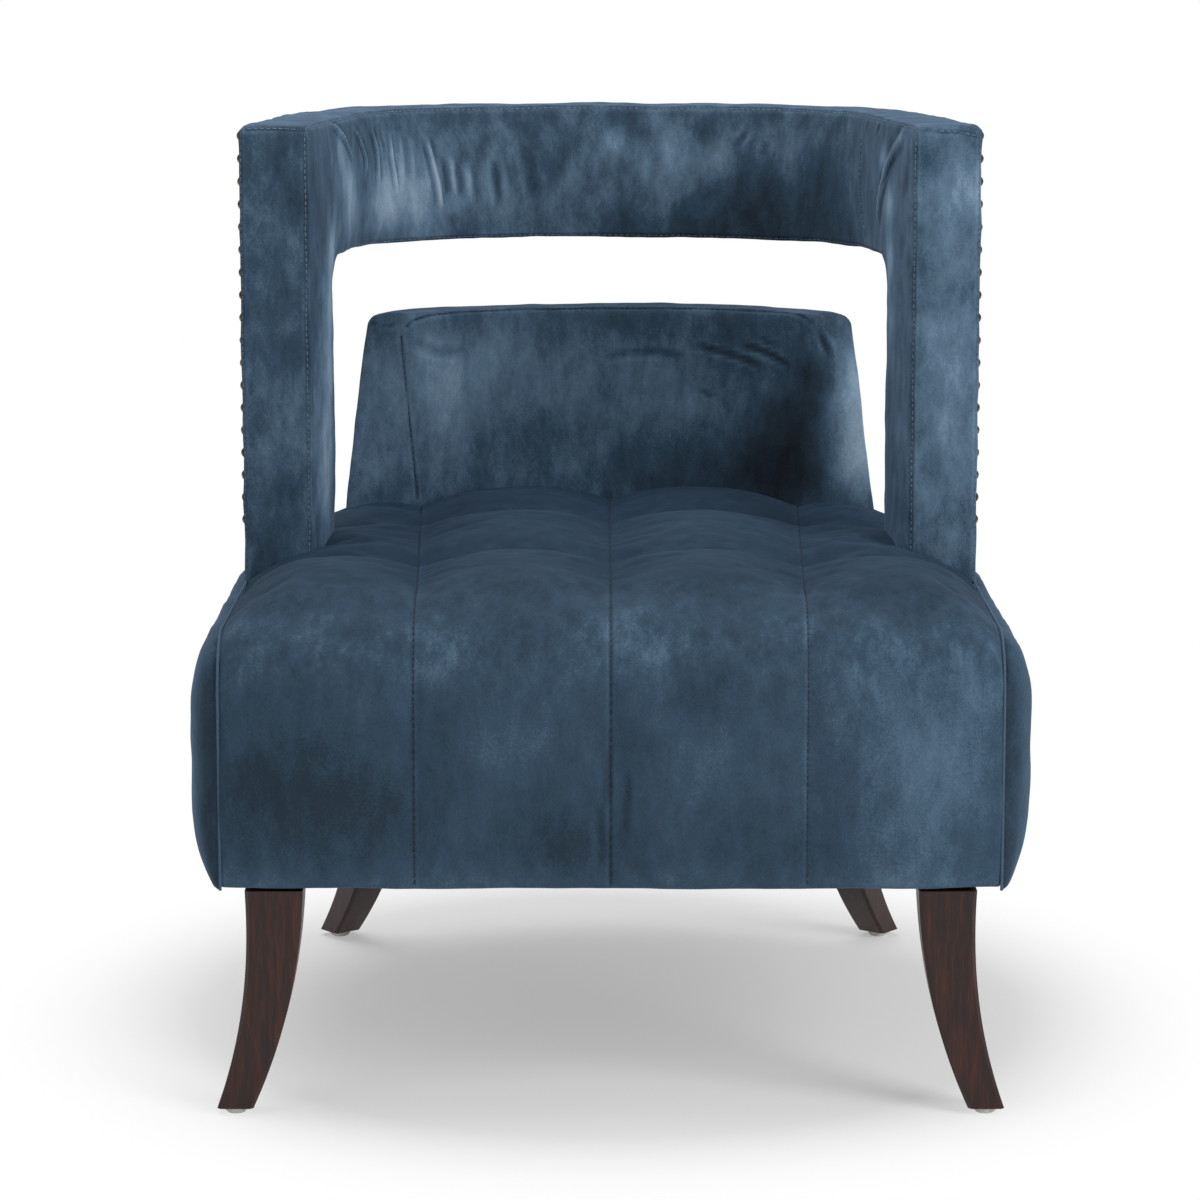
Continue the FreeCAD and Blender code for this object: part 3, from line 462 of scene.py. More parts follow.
def loft_of(name: str, rings: Sequence[Sequence[Vector]],
            split: bool = False) -> bpy.types.Object:
    """A closed loft with flat ends.

    Args:
        name: its name.
        rings: its sections, each of as many points.
        split: whether its last end is divided into strips across it, from its first point on.

    Returns:
        The loft.
    """
    bm = bmesh.new()
    rows = [[bm.verts.new(point) for point in ring] for ring in rings]
    count = len(rows[0])
    for lower, upper in zip(rows, rows[1:]):
        for i in range(count):
            following = (i + 1) % count
            bm.faces.new((lower[i], lower[following], upper[following], upper[i]))
    bm.faces.new(rows[0][::-1])
    bm.faces.new(rows[-1])
    for i in range(1, count // 2 if split else 1):
        bmesh.ops.connect_verts(bm, verts=[rows[-1][i], rows[-1][-i]])
    bmesh.ops.recalc_face_normals(bm, faces=bm.faces)
    return new_object(name, bm)


def bake_modifiers(obj: bpy.types.Object) -> None:
    """Apply every modifier by taking the evaluated mesh.

    Args:
        obj: the object.
    """
    graph = bpy.context.evaluated_depsgraph_get()
    graph.update()
    mesh = bpy.data.meshes.new_from_object(obj.evaluated_get(graph))
    old = obj.data
    obj.modifiers.clear()
    obj.data = mesh
    bpy.data.meshes.remove(old)
    mesh.name = obj.name


def subdivide(obj: bpy.types.Object) -> None:
    """One round of Catmull-Clark, applied.

    Args:
        obj: the object.
    """
    modifier = obj.modifiers.new("Subdivision", "SUBSURF")
    modifier.levels = 1
    modifier.render_levels = 1
    bake_modifiers(obj)


def rows_of(items: bpy.types.bpy_prop_collection, key: str) -> np.ndarray:
    """A vector of each item of a mesh's list.

    Args:
        items: the list.
        key: the vector's name.

    Returns:
        One row of X, Y and Z per item.
    """
    found = np.empty(len(items) * 3, np.float32)
    items.foreach_get(key, found)
    return found.reshape(-1, 3).astype(float)


def positions(obj: bpy.types.Object) -> np.ndarray:
    """The mesh's points, a row each."""
    return rows_of(obj.data.vertices, "co")


def normals(obj: bpy.types.Object) -> np.ndarray:
    """The mesh's point normals, a row each."""
    return rows_of(obj.data.vertex_normals, "vector")


def set_positions(obj: bpy.types.Object, points: np.ndarray) -> None:
    """Write the mesh's points back."""
    obj.data.vertices.foreach_set("co", points.astype(np.float32).ravel())
    obj.data.update()


def set_attribute(obj: bpy.types.Object, name: str, values: np.ndarray) -> None:
    """Store one number per point for the materials to read."""
    layer = obj.data.attributes.get(name) or obj.data.attributes.new(name, "FLOAT", "POINT")
    layer.data.foreach_set("value", values.astype(np.float32))


def inflate(obj: bpy.types.Object, pins: np.ndarray, pressure: float, frames: int, cap: float,
            slack: float) -> None:
    """Blow a sheet up with cloth simulation and keep each point near where it started.

    Args:
        obj: the sheet; its points keep their order.
        pins: one weight per point, 1 where the sheet is sewn down.
        pressure: force from below.
        frames: length of the run.
        cap: the furthest that a point may move.
        slack: share of extra cloth.
    """
    start = positions(obj)
    group = obj.vertex_groups.new(name="Pins")
    for weight in np.unique(pins):
        if weight > 0:
            group.add([int(i) for i in np.nonzero(pins == weight)[0]], float(weight), "REPLACE")
    cloth = obj.modifiers.new("Cloth", "CLOTH")
    settings = cloth.settings
    for name, value in CLOTH.items():
        setattr(settings, name, value)
    settings.vertex_group_mass = group.name
    settings.use_pressure = True
    settings.uniform_pressure_force = pressure
    settings.shrink_min = -slack
    settings.effector_weights.gravity = 0
    cloth.point_cache.frame_start = 1
    cloth.point_cache.frame_end = frames
    scene = bpy.context.scene
    for number in range(1, frames + 1):
        scene.frame_set(number)
    graph = bpy.context.evaluated_depsgraph_get()
    moved = rows_of(obj.evaluated_get(graph).to_mesh().vertices, "co")
    obj.evaluated_get(graph).to_mesh_clear()
    obj.modifiers.remove(cloth)
    obj.vertex_groups.clear()
    step = moved - start
    reach = np.linalg.norm(step, axis=1, keepdims=True)
    step *= np.minimum(1.0, cap / np.maximum(reach, TINY))
    set_positions(obj, start + step)
    scene.frame_set(1)
    log.info("%s: cloth moved %.1f mm at most", obj.name, reach.max() / MM)


def tree_of(obj: bpy.types.Object) -> BVHTree:
    """A search tree over an object's faces.

    Args:
        obj: the object.

    Returns:
        The tree.
    """
    bm = bmesh.new()
    bm.from_mesh(obj.data)
    tree = BVHTree.FromBMesh(bm)
    bm.free()
    return tree


def on_photo(tree: BVHTree, pixels: Sequence[tuple[float, float]]) -> list[Vector]:
    """Points of a surface under pixels of the photograph; a pixel that misses is left out."""
    found = [tree.ray_cast(PHOTO.place, PHOTO.ray(*pixel))[0] for pixel in pixels]
    return [point for point in found if point is not None]


def on_surface(tree: BVHTree, points: Sequence[Vector]) -> list[Vector]:
    """The nearest points of a surface to a line's points."""
    return [tree.find_nearest(point)[0] for point in points]


def resampled(points: Sequence[Vector], step: float) -> list[Vector]:
    """A path through the points with an even step, rounded by a Catmull-Rom curve.

    Args:
        points: the points.
        step: length of a step.

    Returns:
        The path, from its first point on.
    """
    ends = [points[0] * 2 - points[1], *points, points[-1] * 2 - points[-2]]
    dense = []
    for p0, p1, p2, p3 in zip(ends, ends[1:], ends[2:], ends[3:]):
        parts = max(2, int((p2 - p1).length / step) * 2)
        for i in range(parts):
            t = i / parts
            dense.append(0.5 * (2 * p1 + (p2 - p0) * t + (2 * p0 - 5 * p1 + 4 * p2 - p3) * t ** 2
                                + (3 * p1 - p0 - 3 * p2 + p3) * t ** 3))
    dense.append(points[-1])
    path, left = [dense[0]], 0.0
    for start, end in zip(dense, dense[1:]):
        span = (end - start).length
        left += span
        while left >= step and span > 0:
            left -= step
            path.append(end.lerp(start, left / span))
    return path


@dataclass(frozen=True)
class Groove:
    """A pressed line on a surface: a seam, a fold or a pulled wrinkle.

    Attributes:
        points: the line, on the surface.
        width: distance at which the groove has faded to a third.
        depth: how far the line is drawn in; below zero it stands proud.
        rim: share of the depth that swells up beside the line.
        fade: length over which both ends die out.
    """

    points: Sequence[Vector]
    width: float
    depth: float
    rim: float = 0.0
    fade: float = 0.0


def press(obj: bpy.types.Object, grooves: Sequence[Groove]) -> np.ndarray:
    """Draw grooves into a mesh along its normals.

    Args:
        obj: the mesh's object.
        grooves: the grooves.

    Returns:
        How far each point moved, positive outwards.
    """
    points, outward = positions(obj), normals(obj)
    shift = np.zeros(len(points))
    for groove in grooves:
        if len(groove.points) < 2:
            continue
        path = np.array(resampled(groove.points, PRESS_STEP))
        reach = PRESS_REACH * groove.width
        low, high = path.min(0) - reach, path.max(0) + reach
        near = np.nonzero(((points > low) & (points < high)).all(1))[0]
        if not len(near):
            continue
        gaps = np.empty(len(near))
        spots = np.empty(len(near), int)
        for i in range(0, len(near), BLOCK):
            block = points[near[i:i + BLOCK], None, :] - path[None]
            squares = (block ** 2).sum(2)
            spots[i:i + BLOCK] = squares.argmin(1)
            gaps[i:i + BLOCK] = np.sqrt(squares.min(1))
        weight = np.ones(len(near))
        if groove.fade > 0:
            run = spots * PRESS_STEP
            total = (len(path) - 1) * PRESS_STEP
            ends = np.clip(np.minimum(run, total - run) / groove.fade, 0, 1)
            weight = ends ** 2 * (3 - 2 * ends)
        ratio = gaps / groove.width
        rim = groove.rim * np.exp(-((ratio - RIM_PLACE) / RIM_WIDTH) ** 2)
        shape = np.exp(-ratio ** 2) - rim
        shift[near] -= groove.depth * weight * shape
    set_positions(obj, points + outward * shift[:, None])
    return shift


def ripple(obj: bpy.types.Object, height: float, scale: float, seed: float) -> None:
    """A gentle unevenness of the padding under the cloth.

    Args:
        obj: the padded piece.
        height: how far it swells and sinks.
        scale: size of its swellings.
        seed: a number that no other piece has.
    """
    points, outward = positions(obj), normals(obj)
    offset = Vector((seed, seed * RIPPLE_TURN, -seed))
    swell = [noise.fractal(Vector(point) / scale + offset, *RIPPLE_DETAIL)
             for point in points]
    set_positions(obj, points + outward * (np.array(swell) * height)[:, None])


def blobs(obj: bpy.types.Object, marks: Sequence[tuple[Vector, float, float]]) -> np.ndarray:
    """Sum of soft round marks.

    Args:
        obj: the marked object.
        marks: a centre, a radius and a strength each.

    Returns:
        The sum at each point.
    """
    points = positions(obj)
    total = np.zeros(len(points))
    for centre, radius, strength in marks:
        squares = ((points - np.array(centre)) ** 2).sum(1)
        total += strength * np.exp(-squares / radius ** 2)
    return total


def nap_and_light_marks(obj: bpy.types.Object,
            table: Sequence[tuple[tuple[float, float], float, float]]) -> np.ndarray:
    """Marks of brushing and of painted highlights and shade, from a table of a pixel of the photograph, a radius in mm
    and a strength.
    """
    tree = tree_of(obj)
    return blobs(obj, [(spot, radius * MM, strength) for pixel, radius, strength in table
                       for spot in on_photo(tree, [pixel])])


# Finishes


def linear(code: str) -> tuple[float, float, float, float]:
    """A hex colour as the linear colour that a shader takes."""
    shares = [int(code[i:i + 2], 16) / 255 for i in (1, 3, 5)]
    return (*[c / 12.92 if c <= 0.04045 else ((c + 0.055) / 1.055) ** 2.4 for c in shares], 1.0)


class Finish:
    """A material being put together from nodes."""

    def __init__(self, name: str) -> None:
        """Start a material from its surface shader.

        Args:
            name: the material's name.
        """
        self.material = bpy.data.materials.new(name)
        self.material.use_nodes = True
        self.tree = self.material.node_tree
        self.shader = self.tree.nodes["Principled BSDF"]
        self.output = self.tree.nodes["Material Output"]

    def add(self, kind: str, links: dict | Sequence = (),
            stops: Sequence[tuple[float, str]] = (), **settings) -> bpy.types.Node:
        """Add a node.

        Args:
            kind: the node's type name after "ShaderNode".
            links: sockets to link or values to set, by the input's name or number, or in order.
            stops: positions and hex colours, for a colour ramp.
            settings: properties of the node itself.

        Returns:
            The new node.
        """
        node = self.tree.nodes.new("ShaderNode" + kind)
        for key, value in settings.items():
            setattr(node, key, value)
        for key, value in links.items() if isinstance(links, dict) else enumerate(links):
            if isinstance(value, bpy.types.NodeSocket):
                self.tree.links.new(value, node.inputs[key])
            else:
                node.inputs[key].default_value = value
        elements = node.color_ramp.elements if stops else ()
        while len(elements) < len(stops):
            elements.new(0.5)
        for element, (position, code) in zip(elements, stops):
            element.position = position
            element.color = linear(code)
        return node

    def set(self, **values) -> None:
        """Set or link inputs of the surface shader.

        Args:
            values: input names, with _ for a space, and sockets or values.
        """
        for key, value in values.items():
            socket = self.shader.inputs[key.replace("_", " ")]
            if isinstance(value, bpy.types.NodeSocket):
                self.tree.links.new(value, socket)
            else:
                socket.default_value = value

    def noise(self, size_mm: float, detail: float, rough: float = 0.5,
              stretch: tuple[float, float, float] = (1, 1, 1)) -> bpy.types.NodeSocket:
        """Noise on the piece's own coordinates.

        Args:
            size_mm: size of its features.
            detail: how many finer layers it has.
            rough: how strong they are.
            stretch: its scale along each axis.

        Returns:
            The noise, from 0 to 1.
        """
        coordinates = self.add("TexCoord").outputs["Object"]
        mapping = self.add("Mapping", {"Vector": coordinates, "Scale": stretch})
        return self.add("TexNoise", {"Vector": mapping.outputs[0], "Scale": 1000 / size_mm,
                                     "Detail": detail, "Roughness": rough}).outputs["Fac"]


@dataclass(frozen=True)
class Velvet:
    """Cotton velvet, woven and cut: its pile lies in patches, light or dark as it was brushed.

    Attributes:
        shade: the darkest nap; dark, mid, light and bright follow it.
        shaded_top_colour: the darker, deeper blue painted on the top of the seat as shade.
        sheen: tint of the bloom.
        pile_mm: grain of the pile, drawn coarser than the real one so that it shows.
        brush_relief: height of the streaks against the pile's.
        balance: what is taken off so that the mottling lies about zero.
        bloom_loss: what the painted shade of the seat's top takes off the bloom.
    """

    shade: str = "#131b24"
    dark: str = "#22323f"
    mid: str = "#344a5d"
    light: str = "#5b748a"
    bright: str = "#94a9bc"
    shaded_top_colour: str = "#1c3a53"
    sheen: str = "#8fb0d4"
    patch_mm: float = 85.0
    brush_mm: float = 24.0
    pile_mm: float = 1.8
    brush_stretch: tuple[float, float, float] = (1.4, 1.4, 0.62)
    patch_share: float = 0.44
    brush_share: float = 0.74
    pile_share: float = 0.20
    brush_relief: float = 2.0
    balance: float = -0.59
    contrast: float = 0.7
    level: float = 0.40
    bloom: float = 0.30
    bloom_loss: float = -0.50

    def material(self) -> bpy.types.Material:
        """The velvet, which reads its piece's attributes.

        They are how light the pile lies, with painted highlights and shade added in; tone, how much of the painted
        shade of the seat's top the colour takes; and rub, how strongly it is mottled.

        Returns:
            The material.
        """
        finish = Finish("cut_velvet_blue_grey")
        # Painted light: this attribute carries painted highlights and shade as well as the brushing of the pile.
        nap_and_painted_light = finish.add("Attribute", attribute_name="nap_and_painted_light").outputs["Fac"]
        tone = finish.add("Attribute", attribute_name="tone").outputs["Fac"]
        rub = finish.add("Attribute", attribute_name="rub").outputs["Fac"]
        patches = finish.noise(self.patch_mm, 5.0, 0.55)
        brush = finish.noise(self.brush_mm, 6.0, 0.68, self.brush_stretch)
        pile = finish.noise(self.pile_mm, 1.0)
        swirl = self.balance
        for pattern, share in ((brush, self.brush_share), (patches, self.patch_share)):
            swirl = finish.add("Math", (pattern, share, swirl), operation="MULTIPLY_ADD").outputs[0]
        mixed = finish.add("Math", (swirl, rub, nap_and_painted_light), operation="MULTIPLY_ADD").outputs[0]
        mixed = finish.add("Math", (pile, self.pile_share, mixed),
                           operation="MULTIPLY_ADD").outputs[0]
        mixed = finish.add("Math", (mixed, self.contrast, self.level),
                           operation="MULTIPLY_ADD").outputs[0]
        colour = finish.add("ValToRGB", {"Fac": mixed},
                            ((0.18, self.shade), (0.375, self.dark), (0.53, self.mid),
                             (0.73, self.light), (1.0, self.bright))).outputs["Color"]
        # Painted shade: where tone is set, the colour is mixed towards the darker blue of the seat's top.
        toned = finish.add("Mix", {"Factor": tone, 6: colour, 7: linear(self.shaded_top_colour)},
                           data_type="RGBA").outputs[2]
        bloom = finish.add("Math", (tone, self.bloom_loss, self.bloom),
                           operation="MULTIPLY_ADD").outputs[0]
        height = finish.add("Math", (brush, self.brush_relief, pile),
                            operation="MULTIPLY_ADD").outputs[0]
        relief = finish.add("Bump", {"Height": height, "Distance": 0.5 * MM, "Strength": 0.5})
        finish.set(Base_Color=toned, Roughness=0.85, Specular_IOR_Level=0.2,
                   Sheen_Weight=bloom, Sheen_Roughness=0.42, Sheen_Tint=linear(self.sheen),
                   Normal=relief.outputs["Normal"])
        return finish.material


@dataclass(frozen=True)
class Thread:
    """Twisted polyester sewing thread: fine, dull, and a shade off the velvet that it holds."""

    name: str
    dark: str
    light: str

    def material(self) -> bpy.types.Material:
        """The thread of the seams.

        Returns:
            The material.
        """
        finish = Finish(self.name)
        twist = finish.noise(1.5, 1.0)
        colour = finish.add("ValToRGB", {"Fac": twist}, ((0.4, self.dark), (0.6, self.light)))
        finish.set(Base_Color=colour.outputs["Color"], Roughness=0.7)
        return finish.material


NAVY_THREAD = Thread("twisted_thread_navy", "#0b1219", "#18242f")
SLATE_THREAD = Thread("twisted_thread_slate", "#4c6175", "#6b8298")


@dataclass(frozen=True)
class Walnut:
    """Stained walnut under satin lacquer: dark brown, with fine grain up each leg."""

    dark: str = "#120704"
    mid: str = "#260f08"
    light: str = "#4a2012"
    grain_mm: float = 5.0
    pore_mm: float = 1.3
    grain_share: float = 0.75
    pore_share: float = 0.35
    rough: float = 0.34
    pore_rough: float = 0.2

    def material(self) -> bpy.types.Material:
        """The walnut of the legs.

        Returns:
            The material.
        """
        finish = Finish("stained_walnut_satin")
        grain = finish.noise(self.grain_mm, 5.0, 0.65, (1, 1, 0.09))
        pores = finish.noise(self.pore_mm, 2.0, 0.5, (1, 1, 0.06))
        weighed = finish.add("Math", (grain, self.grain_share), operation="MULTIPLY").outputs[0]
        mixed = finish.add("Math", (pores, self.pore_share, weighed), operation="MULTIPLY_ADD")
        colour = finish.add("ValToRGB", {"Fac": mixed.outputs[0]},
                            ((0.36, self.dark), (0.55, self.mid), (0.78, self.light)))
        rough = finish.add("Math", (pores, self.pore_rough, self.rough),
                           operation="MULTIPLY_ADD").outputs[0]
        relief = finish.add("Bump", {"Height": pores, "Distance": 0.12 * MM, "Strength": 0.5})
        finish.set(Base_Color=colour.outputs["Color"], Roughness=rough, Specular_IOR_Level=0.35,
                   Coat_Weight=0.12, Coat_Roughness=0.3, Normal=relief.outputs["Normal"])
        return finish.material


@dataclass(frozen=True)
class Bronze:
    """Antique bronze nail heads: burnished brown metal, mottled with tarnish."""

    dark: str = "#4a3829"
    light: str = "#8d7355"

    def material(self) -> bpy.types.Material:
        """The bronze of the nails.

        Returns:
            The material.
        """
        finish = Finish("antique_bronze")
        tarnish = finish.noise(3.0, 3.0)
        colour = finish.add("ValToRGB", {"Fac": tarnish}, ((0.35, self.dark), (0.65, self.light)))
        relief = finish.add("Bump", {"Height": tarnish, "Distance": 0.08 * MM, "Strength": 0.4})
        finish.set(Base_Color=colour.outputs["Color"], Metallic=1.0, Roughness=0.34,
                   Normal=relief.outputs["Normal"])
        return finish.material


@dataclass(frozen=True)
class Nylon:
    """Moulded natural nylon glides: milky, slightly see-through plastic with a low gloss."""

    shade: str = "#dcdcd6"
    tone: str = "#e9e9e4"

    def material(self) -> bpy.types.Material:
        """The nylon of the glides.

        Returns:
            The material.
        """
        finish = Finish("moulded_nylon_natural")
        cloud = finish.noise(4.0, 2.0)
        colour = finish.add("ValToRGB", {"Fac": cloud}, ((0.3, self.shade), (0.7, self.tone)))
        relief = finish.add("Bump", {"Height": cloud, "Distance": 0.05 * MM, "Strength": 0.3})
        finish.set(Base_Color=colour.outputs["Color"], Roughness=0.42, IOR=1.53,
                   Subsurface_Weight=0.3, Subsurface_Scale=0.004,
                   Normal=relief.outputs["Normal"])
        return finish.material


@dataclass(frozen=True)
class Grained:
    """A plain finish of a hidden part: two tones in a grain of its own size."""

    name: str
    dark: str
    light: str
    grain_mm: float
    rough: float
    metallic: float = 0.0
    stretch: tuple[float, float, float] = (1, 1, 1)

    def material(self) -> bpy.types.Material:
        """The finish, with light relief along its grain.

        Returns:
            The material.
        """
        finish = Finish(self.name)
        grain = finish.noise(self.grain_mm, 4.0, 0.6, self.stretch)
        colour = finish.add("ValToRGB", {"Fac": grain}, ((0.35, self.dark), (0.65, self.light)))
        relief = finish.add("Bump", {"Height": grain, "Distance": 0.15 * MM, "Strength": 0.4})
        finish.set(Base_Color=colour.outputs["Color"], Roughness=self.rough,
                   Metallic=self.metallic, Normal=relief.outputs["Normal"])
        return finish.material


PLYWOOD = Grained("birch_plywood_sanded", "#b08a5c", "#d2b083", 9.0, 0.6, stretch=(0.1, 1, 1))
SPRING_STEEL = Grained("spring_steel_bright", "#7a7c80", "#a4a6aa", 4.0, 0.35, metallic=1.0)
FELT = Grained("pressed_felt_grey", "#5a5a58", "#7c7c79", 3.0, 0.95)
DUST_CLOTH = Grained("spun_dust_cloth_black", "#111113", "#242427", 2.0, 0.9)


@dataclass
class Stitching:
    """The thread of the seams: short stitches set in the grooves.

    Attributes:
        name: the piece's name.
        lines: the seams, as points on the covers.
        length: length of a stitch.
        gap: space between two stitches.
        radius: half the thread's thickness.
        sides: number of faces round a stitch.
    """

    name: str
    lines: list[list[Vector]]
    length: float = 0.0042
    gap: float = 0.0016
    radius: float = 0.0005
    sides: int = 6

    def build(self, material: bpy.types.Material) -> bpy.types.Object:
        """Make every stitch in one mesh and dress it.

        Args:
            material: the thread.

        Returns:
            The stitches.
        """
        bm = bmesh.new()
        for line in self.lines:
            if len(line) < 2:
                continue
            path = resampled(line, self.length + self.gap)
            for start, end in zip(path, path[1:]):
                along = end - start
                if along.length < HAIR:
                    continue
                made = bmesh.ops.create_cone(bm, cap_ends=True, segments=self.sides,
                                             radius1=self.radius,
                                             radius2=self.radius, depth=self.length)
                bmesh.ops.rotate(bm, verts=made["verts"], cent=(0, 0, 0),
                                 matrix=along.to_track_quat("Z", "Y").to_matrix())
                bmesh.ops.translate(bm, verts=made["verts"], vec=start.lerp(end, 0.5))
        obj = new_object(self.name, bm)
        obj.data.materials.append(material)
        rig.ride(obj, ROOT)
        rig.slot(obj, "velvet")
        return obj


# Upholstery


def eased_corner(before: Vector, corner: Vector, after: Vector, reach: float,
                 parts: int) -> list[Vector]:
    """A rounded corner between two directions.

    Args:
        before: a point on the side that comes in.
        corner: the sharp corner.
        after: a point on the side that goes out.
        reach: how far from the corner the rounding starts.
        parts: number of steps.

    Returns:
        The points from one side to the other.
    """
    start = corner + (before - corner).normalized() * reach
    end = corner + (after - corner).normalized() * reach
    return [start * (1 - t) ** 2 + corner * (2 * t * (1 - t)) + end * t ** 2
            for t in [i / parts for i in range(parts + 1)]]


def evenly(start: Vector, end: Vector, parts: int) -> list[Vector]:
    """The points strictly between two others."""
    return [start.lerp(end, i / parts) for i in range(1, parts)]


@dataclass
class Band:
    """The two front posts and the curved top rail, padded and covered as one run.

    The run is followed from the foot of the right post up, round the rail and down the left
    post. Each section lies between the window's edge and the outside edge.

    Attributes:
        measures: the frame's measures.
        thick: thickness of the posts and the rail.
        taper: inward lean of the sides in plan, in degrees.
        back_radius: plan radius of the rail's back.
        corner_radius: plan radius of the rail's corners.
        foot: lowest height of the posts, inside the seat.
        edge: how far the padded edges are rounded.
        crown: how far the padded inner face swells.
        edge_crown: how far the padded top swells.
        window_round: radius of the openings' upper corners.
        top_round: rounding of the posts' upper front corner.
        droop: how far the rail's outer lower edge hangs below its inner one.
        gather: how densely the sections stand at the corners, beside the back.
        hang_blend: how far from the posts the droop comes in.
        square_blend: how far from the posts the sections turn square to the outline.
        seams: the sewn lines, for the stitches.
    """

    measures: Measures
    thick: float = 0.063
    taper: float = 7.7
    back_radius: float = 0.420
    corner_radius: float = 0.220
    foot: float = 0.400
    edge: float = 0.0065
    crown: float = 0.004
    edge_crown: float = 0.0015
    window_round: float = 0.034
    top_round: float = 0.010
    face_parts: int = 15
    edge_parts: int = 7
    corner_parts: int = 4
    post_stations: int = 34
    turn_stations: int = 46
    rail_stations: int = 212
    droop: float = 0.0035
    gather: float = 0.5
    round_parts: int = 6
    straight_parts: int = 8
    hang_blend: float = 0.05
    square_blend: float = 0.12
    # Painted highlight: the whole run is painted this much lighter, for the brighter light on the posts and the rail.
    nap_and_painted_light: float = 0.09
    rub: float = 1.0
    seams: list[list[Vector]] = field(default_factory=list)

    def curve(self, height: float) -> PlanCurve:
        """The outer outline in plan at a height of the rail.

        Args:
            height: the height.

        Returns:
            The outline.
        """
        m = self.measures
        share = (height - m.band_low) / (m.band_top - m.band_low)
        back = m.band_back_low + (m.band_back - m.band_back_low) * share
        return PlanCurve(m.band_half, m.post_front, back, self.taper, self.back_radius,
                         self.corner_radius)

    def section(self, tall: float) -> list[Vector]:
        """The cross-section of the run.

        Args:
            tall: distance from the window's edge to the outside edge.

        Returns:
            Points of an inset from the outer face and a reach from the window's edge.
        """
        corners = [Vector((0, 0)), Vector((0, tall)), Vector((self.thick, tall)),
                   Vector((self.thick, 0))]
        parts = (self.face_parts, self.edge_parts, self.face_parts, self.edge_parts)
        rounds = [eased_corner(corners[i - 1], corners[i], corners[(i + 1) % 4], self.edge,
                               self.corner_parts) for i in range(4)]
        points = []
        for i in range(4):
            points += rounds[i]
            points += evenly(rounds[i][-1], rounds[(i + 1) % 4][0], parts[i])
        for point in points:
            share = min(1.0, max(0.0, point.y / tall))
            if point.x > self.thick / 2:
                point.x += self.crown * 4 * share * (1 - share)
            middle = min(1.0, max(0.0, point.x / self.thick))
            if point.y > tall / 2:
                point.y += self.edge_crown * 4 * middle * (1 - middle)
        return points

    def edges(self) -> list[tuple[Vector, Vector]]:
        """The two edges that the sections lie between.

        Returns:
            Both edges' points at each station, as a run along the outline and a height.
        """
        m = self.measures
        outline = self.curve(m.band_top)
        post = (m.post_rear - m.post_front) / math.cos(outline.lean)
        low, top, arc = m.band_low, m.band_top, self.window_round
        spots = []
        for i in range(self.post_stations):
            height = self.foot + (low - arc - self.foot) * i / self.post_stations
            spots.append((Vector((post, height)), Vector((0, height))))
        corner = Vector((0, top))
        start, end = Vector((0, low - arc)), Vector((post + arc, top))
        eased = eased_corner(start, corner, end, self.top_round, self.round_parts)
        parts = self.straight_parts
        outside = [start, *evenly(start, eased[0], parts), *eased,
                   *evenly(eased[-1], end, parts), end]
        outside = even_path(outside, self.turn_stations)
        for i, far in enumerate(outside):
            angle = math.pi / 2 * i / (len(outside) - 1)
            near = Vector((post + arc * (1 - math.cos(angle)), low - arc * (1 - math.sin(angle))))
            spots.append((near, far))
        run = outline.half_length - post - arc
        half = self.rail_stations // 2
        for i in range(1, half + 1):
            share = i / half
            along = post + arc + run * share * (self.gather + (1 - self.gather) * share)
            spots.append((Vector((along, low)), Vector((along, top))))
        mirrored = [(Vector((outline.length - near.x, near.y)),
                     Vector((outline.length - far.x, far.y))) for near, far in spots[:-1]]
        return spots + mirrored[::-1]

    def rings(self) -> list[list[Vector]]:
        """The sections of the whole run in space.

        Returns:
            One ring of points per station.
        """
        top = self.curve(self.measures.band_top)
        full = top.length
        post = (self.measures.post_rear - self.measures.post_front) / math.cos(top.lean)
        first = post + self.window_round
        outlines: dict[float, PlanCurve] = {}
        rings = []
        for near, far in self.edges():
            span = far - near
            tall = span.length
            ring = []
            for inset, reach in self.section(tall):
                flat = near + span * (reach / tall)
                hang = smooth_step(min(near.x, full - near.x), first, first + self.hang_blend)
                outer = 1 - min(1.0, max(0.0, inset / self.thick))
                flat.y -= self.droop * hang * outer * max(0.0, 1 - reach / (self.thick / 2))
                square = inset * math.tan(top.lean)
                square *= 1 - smooth_step(min(flat.x, full - flat.x), post,
                                          post + self.square_blend)
                flat.x += square if flat.x < full / 2 else -square
                key = round(flat.y, 5)
                if key not in outlines:
                    outlines[key] = self.curve(flat.y)
                outline = outlines[key]
                if flat.x < 0 or flat.x > full:
                    beyond = -flat.x if flat.x < 0 else flat.x - full
                    point, outward = outline.at(0 if flat.x < 0 else outline.length)
                    point = point - Vector((0, beyond))
                else:
                    point, outward = outline.at(self.placed(flat.x, top, outline))
                spot = point - outward * inset
                ring.append(Vector((spot.x, spot.y, flat.y)))
            rings.append(ring)
        return rings

    def placed(self, along: float, top: PlanCurve, outline: PlanCurve) -> float:
        """Carry a place along the top outline over to an outline of another height.

        Args:
            along: the place.
            top: the top outline.
            outline: the other outline.

        Returns:
            The place along the other outline.
        """
        if along > top.half_length:
            return outline.length - self.placed(top.length - along, top, outline)
        if along <= top.side_length:
            return along
        share = (along - top.side_length) / (top.half_length - top.side_length)
        return top.side_length + share * (outline.half_length - top.side_length)

